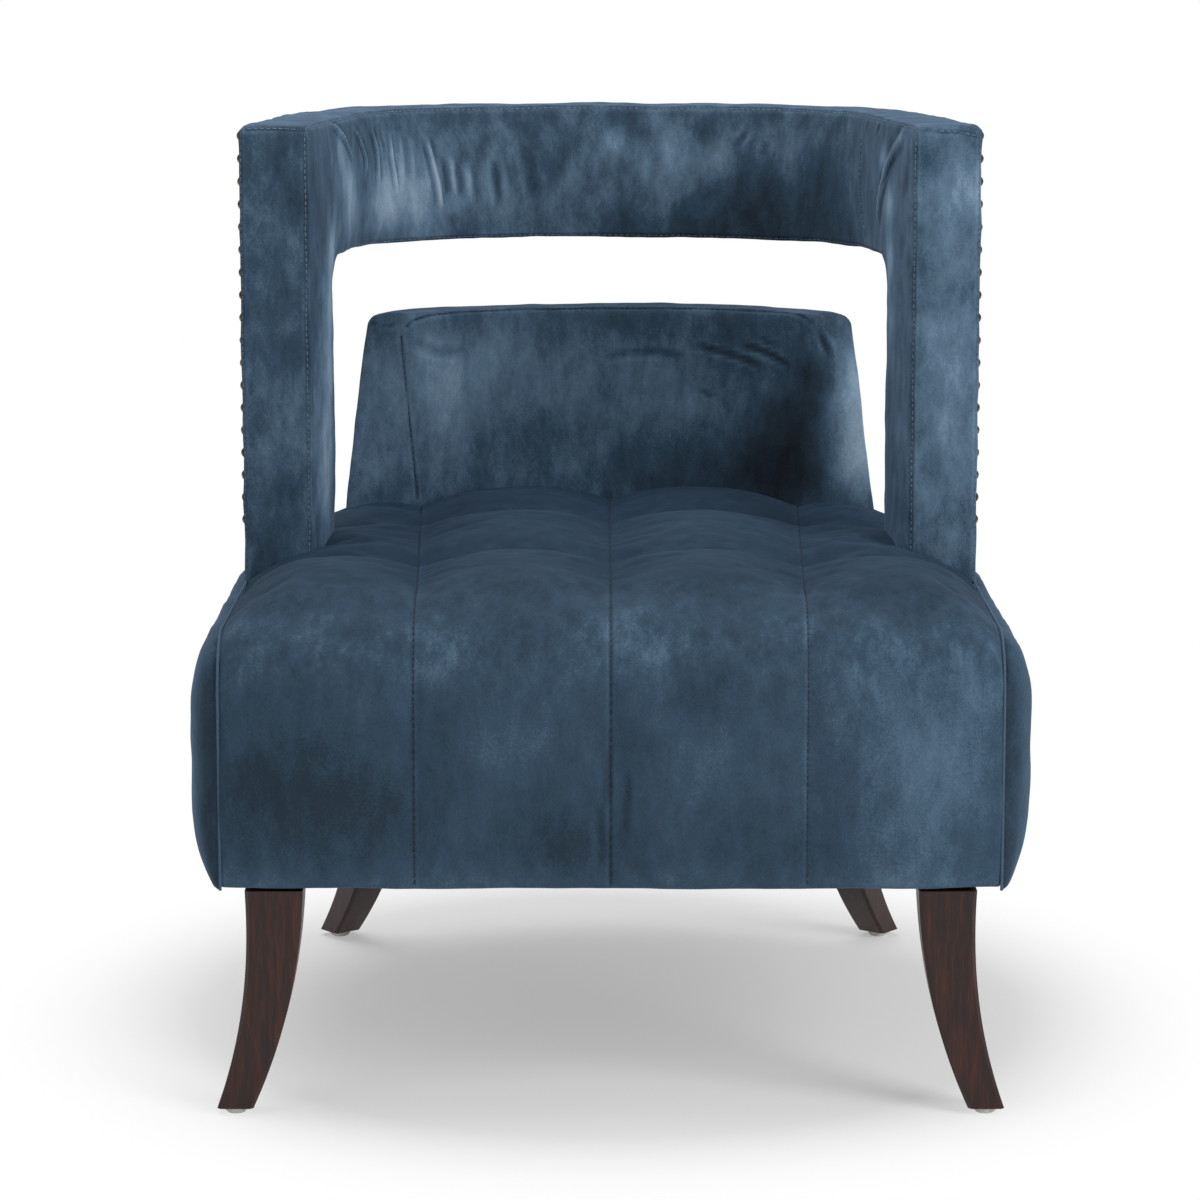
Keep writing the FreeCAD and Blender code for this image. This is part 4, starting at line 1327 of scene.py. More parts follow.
    def build(self, velvet: bpy.types.Material) -> bpy.types.Object:
        """Make the run, draw its seams and pulls, and dress it.

        Args:
            velvet: its cover.

        Returns:
            The run.
        """
        rings = self.rings()
        obj = loft_of("post_and_rail_upholstery", rings)
        subdivide(obj)
        ripple(obj, height=0.0012, scale=0.07, seed=3.0)
        self.paint(obj, self.draw_seams(obj, rings))
        obj.data.materials.append(velvet)
        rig.ride(obj, ROOT)
        covers = [f"post_{panel}_{side}" for side in ("left", "right")
                  for panel in ("pad", "front_cover", "inner_cover", "rear_cover", "outer_cover")]
        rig.replaces(obj, *covers, "rail_pad", "rail_inner_cover", "rail_outer_cover",
                    "rail_top_cover", "rail_bottom_cover")
        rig.slot(obj, "velvet")
        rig.padded(obj, 0.9)
        return obj

    def corner_line(self, rings: Sequence[Sequence[Vector]], corner: Corner) -> list[Vector]:
        """The line along the run at one corner of the section.

        Args:
            rings: the sections.
            corner: which of the four edges.

        Returns:
            Points along the edge.
        """
        step = self.corner_parts + 1
        before = (0, self.face_parts - 1, self.face_parts + self.edge_parts - 2,
                  2 * self.face_parts + self.edge_parts - 3)[corner.value]
        index = corner.value * step + before + self.corner_parts // 2
        return [ring[index] for ring in rings]

    def draw_seams(self, obj: bpy.types.Object,
                   rings: Sequence[Sequence[Vector]]) -> np.ndarray:
        """Press the sewn seams and the pulled wrinkles into the cover.

        Args:
            obj: the run.
            rings: its sections.

        Returns:
            How far each point moved.
        """
        tree = tree_of(obj)
        edges = [self.corner_line(rings, corner) for corner in Corner]
        grooves = [Groove(edge, width=0.0020, depth=0.0009, rim=0.4) for edge in edges]
        grooves += [Groove(on_photo(tree, path), width=0.0020, depth=0.0012, rim=0.4)
                    for path in RAIL_SEAMS]
        grooves += [Groove(on_photo(tree, path), width * MM, depth * MM, rim=0.6, fade=0.02)
                    for path, width, depth in RAIL_FOLDS]
        shift = press(obj, grooves)
        tree = tree_of(obj)
        self.seams = [on_surface(tree, edge) for edge in edges]
        self.seams += [on_photo(tree, path) for path in RAIL_SEAMS]
        return shift

    def paint(self, obj: bpy.types.Object, shift: np.ndarray) -> None:
        """Brush the pile and paint highlights and shade where the photograph shows them, and paint the folds' ridges
        lighter and their grooves darker.
        """
        # Painted light: the table's painted highlights and shade, the folds' ridges painted lighter and grooves
        # darker, and a painted lift of the whole run.
        set_attribute(obj, "nap_and_painted_light", nap_and_light_marks(obj, RAIL_NAP_AND_LIGHT) + RIDGE_HIGHLIGHT_GROOVE_SHADE * shift + self.nap_and_painted_light)
        set_attribute(obj, "rub", np.full(len(shift), self.rub))


def even_path(points: Sequence[Vector], parts: int) -> list[Vector]:
    """A path of straight pieces walked in equal steps.

    Args:
        points: the path's corners.
        parts: number of steps.

    Returns:
        One point more than the steps.
    """
    runs = [0.0]
    for start, end in zip(points, points[1:]):
        runs.append(runs[-1] + (end - start).length)
    path, spot = [], 0
    for i in range(parts + 1):
        goal = runs[-1] * i / parts
        while spot < len(points) - 2 and runs[spot + 1] < goal:
            spot += 1
        share = (goal - runs[spot]) / max(runs[spot + 1] - runs[spot], TINY)
        path.append(points[spot].lerp(points[spot + 1], share))
    return path


# The sewn seams of the posts and the rail, as pixels of the photograph
RAIL_SEAMS = (
    ((861, 142), (860, 167), (860.7, 196), (862, 215), (865, 235), (871.5, 251), (875, 258)),
    ((246, 129), (262, 128.5), (285, 129), (303, 130)),
    ((914, 131), (940, 131), (962, 132.5), (978, 136)),
)

# Pulled folds: pixels along each, width and depth in millimetres; below zero it stands proud
RAIL_FOLDS = (
    (((330, 123), (342, 134), (350, 151), (353, 168)), 2.6, -2.3),
    (((352, 127), (359, 138), (364.5, 154), (366, 171), (365, 184)), 2.6, -2.4),
    (((369, 124), (374.5, 140), (378, 161), (378.6, 192)), 2.6, -2.4),
    (((378.6, 130), (384, 148), (386, 165)), 2.8, 1.4),
    (((389, 132), (392, 157), (395.5, 178), (398, 200)), 2.4, -2.7),
    (((403, 130), (407, 160), (410, 190)), 4.0, 1.5),
    (((424, 134), (430.5, 154), (436, 178), (440, 200), (442, 214)), 2.8, -2.8),
    (((441, 150), (447, 180), (450, 205)), 4.5, 1.6),
    (((449, 152), (452, 184), (455, 205)), 4.0, -1.6),
    (((465, 160), (470, 192), (472, 210)), 4.5, -1.7),
    (((493, 155), (497, 180), (501, 214)), 4.5, 1.5),
    (((522, 140), (530, 170), (536, 200)), 6.0, 1.0),
    (((906, 132), (896, 146), (886, 168), (880, 196), (877, 225)), 6.5, -2.0),
    (((897, 152), (888, 170), (881, 192), (878, 212)), 1.8, 1.5),
    (((884, 121), (879, 128), (874, 140)), 3.0, 1.6),
    (((871, 119), (867, 127), (864, 140)), 3.0, 1.4),
    (((750, 123), (742, 138), (733, 152)), 3.6, 1.7),
    (((768, 137), (764, 150), (759, 163)), 3.6, 1.4),
    (((581, 124), (575, 128), (568, 131)), 3.0, 1.2),
    (((640, 120), (655, 160), (668, 200)), 9.0, 0.6),
)

# Brushing of the pile and painted light of the posts and the rail, such as the painted highlight on the left inner
# curve and the left post's inner face: pixel, radius in millimetres, strength
RAIL_NAP_AND_LIGHT = (
    ((340, 150), 20.0, 0.40),
    ((348, 180), 28.0, 0.44),
    ((352, 212), 30.0, 0.44),
    ((385, 205), 32.0, 0.46),
    ((420, 205), 30.0, 0.32),
    ((400, 160), 40.0, 0.30),
    ((455, 195), 36.0, 0.18),
    ((500, 200), 34.0, 0.16),
    ((505, 150), 26.0, 0.08),
    ((332, 250), 24.0, 0.56),
    ((330, 300), 30.0, 0.52),
    ((330, 360), 36.0, 0.48),
    ((328, 430), 36.0, 0.44),
    ((326, 490), 32.0, 0.38),
    ((312, 200), 18.0, -0.10),
    ((614, 141), 16.0, 0.24),
    ((671, 148), 34.0, 0.24),
    ((718, 160), 22.0, 0.24),
    ((590, 185), 46.0, 0.10),
    ((660, 195), 40.0, 0.10),
    ((628, 120), 16.0, -0.16),
    ((705, 130), 14.0, -0.18),
    ((480, 228), 34.0, -0.10),
    ((620, 230), 28.0, -0.18),
    ((690, 228), 32.0, -0.20),
    ((760, 220), 38.0, -0.22),
    ((820, 215), 38.0, -0.19),
    ((825, 165), 40.0, -0.06),
    ((790, 150), 22.0, 0.14),
    ((884, 160), 14.0, 0.50),
    ((889, 205), 20.0, 0.55),
    ((890, 260), 24.0, 0.50),
    ((890, 320), 30.0, 0.36),
    ((906, 180), 12.0, -0.16),
    ((948, 200), 50.0, 0.22),
    ((952, 330), 60.0, 0.22),
    ((948, 450), 60.0, 0.24),
    ((980, 300), 24.0, 0.20),
    ((980, 180), 24.0, 0.20),
    ((980, 430), 24.0, 0.20),
    ((922, 160), 18.0, -0.12),
    ((270, 160), 26.0, -0.06),
    ((262, 420), 60.0, 0.06),
    ((290, 350), 22.0, -0.10),
)


@dataclass
class Seat:
    """The deep tight seat: one cover over the top, round the front roll and down the front.

    Attributes:
        measures: the frame's measures.
        rows: depths of the two rows of tufts behind the seat's front.
        column: distance between the tufted lines at the front.
        roll: radius of the front roll in the middle.
        edge_roll: radius of the front roll at the sides.
        setback: how far the front draws back at the sides.
        lap: how far the cover reaches over the border's seam.
        tuft: depth of a tuft.
        valley: depth of the long valleys between the tufts.
        seam: depth of the crease at a sewn line.
        back: the seat's depth.
        flat_front: half width of the crown at the front, beyond which the sides fall.
        flat_rear: half width of the crown behind the posts.
        fan: how much the rows of tufts spread per metre towards the rear.
        sewn_end: how far back the sewn lines run.
        frame_radius: radius of the seat box's rear.
        frame_corner: radius of its rear corners.
        crown_drop: how far the crest comes down to the crown's sides.
        fall_power: shape of the fall beyond them; draw_power is that of the setback and the
            roll, and rear_power that of the fall behind the posts.
        sink: depths between which the sides come down behind the posts.
        cross_share: depth of a cross row against a tuft's.
        cushioned: how much of a crease the padding hides on the top.
        cloth_shares: places up the flat cloth where the hem, the front and the roll end.
        deepening: angles on the roll between which the tufting comes in.
        under: how far the hem turns in below the seat.
        box_inset: how far inside the border's seam the seat box's edge lies.
        pinned_from: depth behind which the cloth is nailed down.
        blow_cap: furthest that the padding's pressure moves the cloth.
        cross_end: how far from the sides the cross rows' creases end.
        roll_highlight_drop: how far below the crest the painted highlight across the front roll lies.
        top_start: depth at which the painted shade on the seat's top begins.
        seams: the sewn lines, for the stitches.
    """

    measures: Measures
    rows: tuple[float, float] = (0.250, 0.496)
    column: float = 0.1705
    roll: float = 0.090
    edge_roll: float = 0.050
    setback: float = 0.006
    lap: float = 0.0022
    tuft: float = 0.024
    valley: float = 0.013
    seam: float = 0.0022
    back: float = 0.722
    flat_front: float = 0.262
    flat_rear: float = 0.190
    fan: float = 0.27
    sewn_end: float = 0.650
    frame_radius: float = 0.440
    frame_corner: float = 0.250
    crown_drop: float = 0.007
    fall_power: float = 2.2
    draw_power: float = 1.5
    rear_power: float = 1.5
    sink: tuple[float, float] = (0.20, 0.36)
    valley_width: float = 0.030
    seam_width: float = 0.0035
    tuft_width: float = 0.050
    cross_width: float = 0.035
    valley_power: float = 1.5
    tuft_power: float = 1.3
    cross_share: float = 0.5
    cushioned: float = 0.4
    cloth_shares: tuple[float, float, float] = (0.03, 0.36, 0.50)
    deepening: tuple[float, float] = (0.5, 1.5)
    under: float = 0.025
    hem_in: float = 0.004
    hem_lift: float = 0.0015
    front_lift: float = 0.002
    belly: float = 0.002
    box_inset: float = 0.002
    rim_width: float = 0.004
    hem_height: float = 0.008
    pinned_from: float = 0.60
    line_width: float = 0.0032
    pressure: float = 2.2
    blow_frames: int = 18
    blow_cap: float = 0.007
    slack: float = 0.012
    seam_foot: float = 0.006
    cross_end: float = 0.055
    roll_highlight_drop: float = 0.055
    roll_highlight_width: float = 0.028
    hem_width: float = 0.022
    front_depth: float = 0.05
    top_start: float = 0.03
    top_blend: float = 0.07
    seams: list[list[Vector]] = field(default_factory=list)

    def outline(self) -> PlanCurve:
        """The seat box in plan.

        Returns:
            Its outline.
        """
        m = self.measures
        back = m.seat_front + self.back - 2 * self.box_inset
        return PlanCurve(m.seam_half - self.box_inset, m.seat_front, back, 0.0,
                         self.frame_radius, self.frame_corner)

    def columns(self) -> tuple[float, float, float]:
        """Places of the sewn lines across the seat's front."""
        return -self.column, 0.0, self.column

    def edge(self, across: float) -> tuple[float, float, float]:
        """The seat's shape at a place across it.

        Args:
            across: the place, counted from the middle.

        Returns:
            The crest's height, the front's setback and the roll's radius.
        """
        m = self.measures
        near = min(1.0, abs(across) / self.flat_front)
        height = m.crest - self.crown_drop * near ** 2
        fall = max(0.0, (abs(across) - self.flat_front) / (m.seam_half - self.flat_front))
        low = m.crest - self.crown_drop - m.edge_top
        height -= low * fall ** self.fall_power
        share = fall ** self.draw_power
        return (height, self.setback * share,
                self.roll + (self.edge_roll - self.roll) * share)

    def slope(self, across: float, run: float) -> float:
        """How much lower the seat's sides lie behind the posts than at the front.

        Args:
            across: place across the seat.
            run: depth behind the front.

        Returns:
            The drop.
        """
        m = self.measures
        low = m.crest - self.crown_drop - m.edge_top
        width = min(m.seam_half, abs(across))
        front = max(0.0, (width - self.flat_front) / (m.seam_half - self.flat_front))
        rear = max(0.0, (width - self.flat_rear) / (m.seam_half - self.flat_rear))
        fall = rear ** self.rear_power - front ** self.fall_power
        return low * fall * smooth_step(run, *self.sink)

    def fanned(self, across: float, run: float) -> float:
        """Where the cloth lies across the seat, with its rows spread towards the rear."""
        width = self.measures.seam_half + self.lap
        return across * (1 + self.fan * max(0.0, run) * (1 - (across / width) ** 2))

    def groove(self, across: float, run: float, top: float) -> float:
        """How deep the quilted lines draw in.

        Args:
            across: place across the seat.
            run: depth behind the front, or below zero down the front panel.
            top: 1 on the top of the seat and 0 on its front.

        Returns:
            The depth of the dip.
        """
        depth = 0.0
        for line in self.columns():
            gap = abs(across - line)
            valley = self.valley * math.exp(-(gap / self.valley_width) ** self.valley_power)
            crease = self.seam * math.exp(-(gap / self.seam_width) ** 2)
            depth = max(depth, top * valley + (1 - self.cushioned * top) * crease)
            for row in self.rows:
                far = math.hypot(gap, run - row) / self.tuft_width
                depth = max(depth, top * self.tuft * math.exp(-far ** self.tuft_power))
        for row in self.rows:
            ridge = math.exp(-((run - row) / self.cross_width) ** 2)
            depth = max(depth, top * self.cross_share * self.tuft * ridge)
        return depth

    def spot(self, share_x: float, share_y: float) -> Vector:
        """Where a point of the flat cloth lies on the seat.

        Args:
            share_x: the point's place across the cloth.
            share_y: its place up the cloth.

        Returns:
            The point.
        """
        m = self.measures
        across = (2 * share_x - 1) * (m.seam_half + self.lap)
        crest, setback, roll = self.edge(min(m.seam_half, abs(across)))
        drop = crest - roll - m.underside
        top_run = self.back - setback - roll
        hem, front, rolled = self.cloth_shares
        if share_y < hem:
            run = self.under * (1 - share_y / hem)
            return Vector((across, m.seat_front + setback + self.hem_in + run,
                           m.underside + self.hem_lift))
        if share_y < front:
            rise = (share_y - hem) / (front - hem)
            height = m.underside + self.front_lift + drop * rise
            belly = self.belly * math.sin(math.pi * rise)
            dip = self.groove(across, -1.0, 0.0)
            return Vector((across, m.seat_front + setback - belly + dip, height))
        if share_y < rolled:
            angle = (share_y - front) / (rolled - front) * math.pi / 2
            run = setback + roll * (1 - math.cos(angle))
            top = smooth_step(angle, *self.deepening)
            dip = self.groove(across, run, top)
            reach = roll - dip
            return Vector((across, m.seat_front + setback + roll - reach * math.cos(angle),
                           crest - roll + reach * math.sin(angle)))
        far = (share_y - rolled) / (1 - rolled)
        run = setback + roll + top_run * far
        dip = self.groove(across, run, 1.0)
        spread = self.fanned(across, run - setback - roll)
        return Vector((spread, m.seat_front + run, crest - dip - self.slope(spread, run)))

    def wrap(self, point: Vector, outline: PlanCurve) -> Vector:
        """Turn what lies outside the seat box down its side.

        Args:
            point: a point of the cover.
            outline: the seat box in plan.

        Returns:
            The moved point.
        """
        inside = outline.inside(point.x, point.y)
        if inside >= 0 or point.y < outline.turn:
            return point
        corner = outline.corner
        across = abs(point.x)
        away = Vector((across - corner.x, point.y - corner.y))
        if math.atan2(away.x, away.y) > outline.swing:
            flat = corner + away.normalized() * outline.corner_radius
        else:
            centre = Vector((0, outline.back_centre))
            flat = centre + (Vector((across, point.y)) - centre).normalized() \
                * outline.back_radius
        return Vector((math.copysign(flat.x, point.x), flat.y, point.z + inside))

    def build(self, velvet: bpy.types.Material) -> bpy.types.Object:
        """Make the seat, blow its padding up and sew it.

        Args:
            velvet: its cover.

        Returns:
            The seat.
        """
        columns, rows = 112, 170
        outline = self.outline()
        obj = sheet_of("tufted_seat_upholstery", columns, rows,
                       lambda u, v: self.wrap(self.spot(u, v), outline))
        pins = self.pins(positions(obj))
        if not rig.quick():
            inflate(obj, pins, self.pressure, self.blow_frames, self.blow_cap, self.slack)
        bm = bmesh.new()
        bm.from_mesh(obj.data)
        close_below(bm, self.measures.underside + 0.0012)
        bmesh.ops.recalc_face_normals(bm, faces=bm.faces)
        bm.to_mesh(obj.data)
        bm.free()
        for polygon in obj.data.polygons:
            polygon.use_smooth = True
        subdivide(obj)
        ripple(obj, height=0.0010, scale=0.09, seed=11.0)
        self.paint(obj, self.draw_seams(obj))
        obj.data.materials.append(velvet)
        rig.ride(obj, ROOT)
        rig.replaces(obj, "seat_foam", "seat_cover")
        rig.slot(obj, "velvet")
        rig.padded(obj, 0.85)
        return obj

    def pins(self, points: np.ndarray) -> np.ndarray:
        """Where the cloth is sewn or nailed down: its rim and its lines.

        Args:
            points: the cloth's points.

        Returns:
            A weight per point, 1 where it is held.
        """
        m = self.measures
        weights = np.zeros(len(points))
        rim = np.abs(points[:, 0]) > m.seam_half - self.rim_width
        bottom = points[:, 2] < m.underside + self.hem_height
        rear = points[:, 1] > m.seat_front + self.pinned_from
        behind = np.clip(points[:, 1] - m.seat_front - self.roll, 0, None)
        for line in self.columns():
            place = self.fanned(line, 1.0) - line
            weights[np.abs(points[:, 0] - line - place * behind) < self.line_width] = 1.0
        weights[rim | bottom | rear] = 1.0
        return weights

    def sewn_line(self, tree: BVHTree, across: float) -> list[Vector]:
        """A seam, from the seat's lower edge up, over the roll and back to the rear.

        Args:
            tree: search tree of the cover.
            across: the seam's place across the seat.

        Returns:
            Points on the cover.
        """
        m = self.measures
        roll_centre = Vector((across, m.seat_front + self.roll, m.crest - self.roll))
        foot = m.underside + self.seam_foot
        up, around, back = 30, 16, 50
        casts = [(Vector((across, m.seat_front - CAST, foot + (roll_centre.z - foot) * i / up)),
                  Vector((0, 1, 0))) for i in range(up)]
        for i in range(around):
            angle = math.pi / 2 * i / around
            away = Vector((0, -math.cos(angle), math.sin(angle)))
            casts.append((roll_centre + away * ROLL_CAST, -away))
        for i in range(back):
            run = (self.sewn_end - self.roll) * i / (back - 1)
            casts.append((Vector((self.fanned(across, run), roll_centre.y + run,
                                  m.crest + CAST)), Vector((0, 0, -1))))
        found = [tree.ray_cast(start, aim)[0] for start, aim in casts]
        return [point for point in found if point is not None]

    def cross_line(self, tree: BVHTree, row: float) -> list[Vector]:
        """The crease across the top through one row of tufts.

        Args:
            tree: search tree of the cover.
            row: the row's depth.

        Returns:
            Points on the cover.
        """
        m = self.measures
        reach, parts = m.seam_half - self.cross_end, 60
        casts = [tree.ray_cast(Vector((reach * (2 * i / parts - 1), m.seat_front + row,
                                       m.crest + CAST)), Vector((0, 0, -1)))[0]
                 for i in range(parts + 1)]
        return [point for point in casts if point is not None]

    def draw_seams(self, obj: bpy.types.Object) -> np.ndarray:
        """Press the stitched lines and the small puckers into the front.

        Args:
            obj: the seat.

        Returns:
            How far each point moved.
        """
        tree = tree_of(obj)
        lines = [self.sewn_line(tree, across) for across in self.columns()]
        lines += [self.cross_line(tree, row) for row in self.rows]
        grooves = [Groove(line, width=0.0014, depth=0.0011, rim=0.55) for line in lines]
        grooves += [Groove(on_photo(tree, path), width * MM, depth * MM, rim=0.5, fade=0.012)
                    for path, width, depth in SEAT_FOLDS]
        shift = press(obj, grooves)
        tree = tree_of(obj)
        self.seams = [self.sewn_line(tree, across) for across in self.columns()]
        return shift

    def paint(self, obj: bpy.types.Object, shift: np.ndarray) -> None:
        """Brush the pile and paint highlights and shade where the photograph shows it lighter or darker, with a
        painted highlight across the roll and painted shade on the top.

        Args:
            obj: the seat.
            shift: how far the seams and puckers moved each point.
        """
        points = positions(obj)
        m = self.measures
        # Painted highlight: a light band across the front roll, where the light falls on its slope.
        band = np.exp(-((points[:, 2] - (m.crest - self.roll_highlight_drop)) / self.roll_highlight_width) ** 2)
        # Lighter towards the front's lower edge.
        hem = np.exp(-((points[:, 2] - m.underside) / self.hem_width) ** 2)
        front = points[:, 1] < m.seat_front + self.front_depth
        # Painted shade: the seat's top is painted darker and deeper blue, and takes less bloom.
        top = np.clip((points[:, 1] - m.seat_front - self.top_start) / self.top_blend, 0, 1)
        roll_highlight, hem_lighter, top_painted_shade, top_shade_tone = 0.05, 0.10, -0.23, 0.38
        front_rub, top_rub, roll_highlight_rub = 0.50, 0.60, 0.40
        # Painted light: the table's painted highlights and shade, and the puckers' ridges painted lighter and grooves
        # darker.
        nap_and_painted_light = nap_and_light_marks(obj, SEAT_NAP_AND_LIGHT) + RIDGE_HIGHLIGHT_GROOVE_SHADE * shift
        nap_and_painted_light += (roll_highlight * band + hem_lighter * hem) * front + top_painted_shade * top
        set_attribute(obj, "nap_and_painted_light", nap_and_painted_light)
        set_attribute(obj, "tone", top_shade_tone * top)
        set_attribute(obj, "rub", front_rub + top_rub * top + roll_highlight_rub * band * front)


# Puckers beside the seat's middle seam: pixels, width and depth in millimetres
SEAT_FOLDS = (
    (((606, 745), (607, 780), (606, 812)), 4.0, 0.8),
    (((626, 765), (627, 800), (625, 840)), 4.0, 0.8),
    (((600, 800), (602, 835), (603, 870)), 4.5, 0.7),
)

# Brushing of the pile and painted light of the seat, such as the right of the front painted lighter where the light
# falls: pixel, radius in millimetres, strength
SEAT_NAP_AND_LIGHT = (
    ((300, 640), 40.0, 0.08),
    ((520, 735), 46.0, 0.10),
    ((440, 650), 30.0, 0.10),
    ((640, 655), 40.0, 0.12),
    ((700, 760), 50.0, 0.06),
    ((860, 700), 50.0, 0.12),
    ((940, 760), 60.0, 0.20),
    ((985, 690), 26.0, 0.14),
    ((920, 850), 50.0, 0.14),
    ((260, 790), 40.0, -0.12),
    ((350, 800), 60.0, -0.12),
    ((560, 840), 46.0, -0.08),
    ((700, 690), 26.0, -0.10),
    ((760, 850), 50.0, -0.04),
)


def close_below(bm: bmesh.types.BMesh, floor: float) -> None:
    """Close an open cover: carry its rim inwards to a flat bottom and fill that.

    Args:
        bm: the cover.
        floor: height below which nothing may come.
    """
    rim = [edge for edge in bm.edges if edge.is_boundary]
    grown = bmesh.ops.extrude_edge_only(bm, edges=rim)["geom"]
    lowered = [item for item in grown if isinstance(item, bmesh.types.BMVert)]
    narrower, shallower, behind, above = 0.97, 0.99, 0.035, 0.004
    front = min(vert.co.y for vert in lowered)
    for vert in lowered:
        vert.co.x *= narrower
        vert.co.y = max(vert.co.y * shallower, front + behind)
        vert.co.z = floor + above
    ends = [edge for edge in bm.edges if edge.is_boundary]
    bmesh.ops.holes_fill(bm, edges=ends, sides=0)
    bmesh.ops.triangulate(bm, faces=[face for face in bm.faces if len(face.verts) > 4])


@dataclass
class Border:
    """The puffed border round the seat box, from one front corner round the back to the other.

    Attributes:
        measures: the frame's measures.
        foot_puff: how far it stands out at its lower edge.
        rear_puff: how far it stands out at the rear.
        rear_foot: how far it stands out at its lower edge there.
        widest: share of its height at which it stands out most.
        front_roll: radius at which its top edge comes down at the front.
        start: how far behind the seat's front it begins.
        rear_rise: how much higher its top edge lies at the rear.
        rear_turn: depths between which its puff goes over into the rear's.
        rise_turn: depths between which its top edge rises.
        easing: how much denser its stations stand towards its ends.
        blend: how far behind its front ends its puff is full.
        least: least distance from the seam line, beside the front ends.
        thin: thickness at the front ends against the full one.
        front_painted_shade: how much darker the front ends are painted, as shade in the joint beside the seat's front
            corner.
    """

    measures: Measures
    foot_puff: float = 0.010
    rear_puff: float = 0.012
    rear_foot: float = 0.007
    widest: float = 0.62
    front_roll: float = 0.050
    thick: float = 0.010
    back: float = 0.718
    frame_radius: float = 0.440
    frame_corner: float = 0.250
    start: float = 0.006
    rear_rise: float = 0.030
    rear_turn: tuple[float, float] = (0.44, 0.62)
    rise_turn: tuple[float, float] = (0.50, 0.70)
    easing: float = 0.25
    blend: float = 0.060
    least: float = 0.0008
    thin: float = 0.2
    round_power: float = 2.15
    foot_power: int = 5
    row_power: float = 1.3
    nap_and_painted_light: float = 0.08
    front_painted_shade: float = 0.26
    front_shade_width: float = 0.018
    rub: float = 0.6

    def outline(self) -> PlanCurve:
        """The line that the border is sewn along, in plan."""
        m = self.measures
        return PlanCurve(m.seam_half, m.seat_front + self.start, m.seat_front + self.back, 0.0,
                         self.frame_radius, self.frame_corner)

    def top(self, depth: float, rise: float) -> float:
        """Height of the top edge.

        Args:
            depth: the depth behind the border's front ends.
            rise: how much of its rise it has.

        Returns:
            The height.
        """
        m = self.measures
        near = max(0.0, self.front_roll - depth)
        fall = self.front_roll - math.sqrt(max(0.0, self.front_roll ** 2 - near ** 2))
        return m.edge_top - fall + self.rear_rise * rise

    def spot(self, around: float, share: float, inner: float) -> Vector:
        """A point of the border.

        Args:
            around: place along the outline, from 0 to 1.
            share: place up the border.
            inner: 0 on the cover and 1 on its inner face.

        Returns:
            The point.
        """
        m = self.measures
        outline = self.outline()
        eased = 0.5 - 0.5 * math.cos(math.pi * around)
        place = around * (1 - self.easing) + eased * self.easing
        point, outward = outline.at(place * outline.length)
        depth = point.y - m.seat_front - self.start
        rear = smooth_step(depth, *self.rear_turn)
        rise = smooth_step(depth, *self.rise_turn)
        height = m.underside + (self.top(depth, rise) - m.underside) * share
        full = (m.puff_half - m.seam_half) * (1 - rear) + self.rear_puff * rear
        if share > self.widest:
            drop = min(1.0, (share - self.widest) / (1 - self.widest))
            lift = full * (1 - drop ** self.round_power) ** (1 / self.round_power)
        else:
            foot = self.foot_puff * (1 - rear) + self.rear_foot * rear
            lift = foot + (full - foot) * (1 - (1 - share / self.widest) ** self.foot_power)
        grow = min(1.0, depth / self.blend)
        swell = lift * math.sqrt(max(0.0, 1 - (1 - grow) ** 2))
        padded = self.thick * (self.thin + (1 - self.thin) * grow)
        swell = max(swell, self.least) * (1 - inner) - padded * inner
        spot = point + outward * swell
        return Vector((spot.x, spot.y, height))

    def build(self, velvet: bpy.types.Material) -> bpy.types.Object:
        """Make the border as a closed form and dress it.

        Args:
            velvet: its cover.

        Returns:
            The border.
        """
        columns, rows, folds = 300, 26, 3

        def place(u: float, v: float) -> Vector:
            """Up the cover, then down its inner face.

            Args:
                u: place along the border.
                v: place up and down it.

            Returns:
                The point.
            """
            level = v * (rows + folds)
            if level <= rows:
                return self.spot(u, (level / rows) ** self.row_power, 0.0)
            return self.spot(u, 1 - (level - rows) / folds, 1.0)

        obj = sheet_of("seat_border_upholstery", columns, rows + folds, place)
        bm = bmesh.new()
        bm.from_mesh(obj.data)
        rim = [edge for edge in bm.edges if edge.is_boundary]
        low = [edge for edge in rim
               if all(vert.co.z < self.measures.underside + HAIR for vert in edge.verts)]
        bmesh.ops.bridge_loops(bm, edges=low)
        bmesh.ops.holes_fill(bm, edges=[edge for edge in bm.edges if edge.is_boundary], sides=0)
        bmesh.ops.triangulate(bm, faces=[face for face in bm.faces if len(face.verts) > 4])
        bmesh.ops.recalc_face_normals(bm, faces=bm.faces)
        for face in bm.faces:
            face.smooth = True
        bm.to_mesh(obj.data)
        bm.free()
        subdivide(obj)
        ripple(obj, height=0.0012, scale=0.08, seed=23.0)
        behind = positions(obj)[:, 1] - self.measures.seat_front
        # Painted shade: the border's front ends are painted darker, in the joint beside the seat's front corner.
        ends = np.exp(-(behind / self.front_shade_width) ** 2)
        set_attribute(obj, "nap_and_painted_light", self.nap_and_painted_light - self.front_painted_shade * ends)
        set_attribute(obj, "rub", np.full(len(behind), self.rub))
        obj.data.materials.append(velvet)
        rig.ride(obj, ROOT)
        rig.replaces(obj, "side_pad_right", "side_pad_left", "side_cover_right",
                    "side_cover_left", "base_rear_pad", "base_rear_cover")
        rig.slot(obj, "velvet")
        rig.padded(obj, 0.9)
        return obj


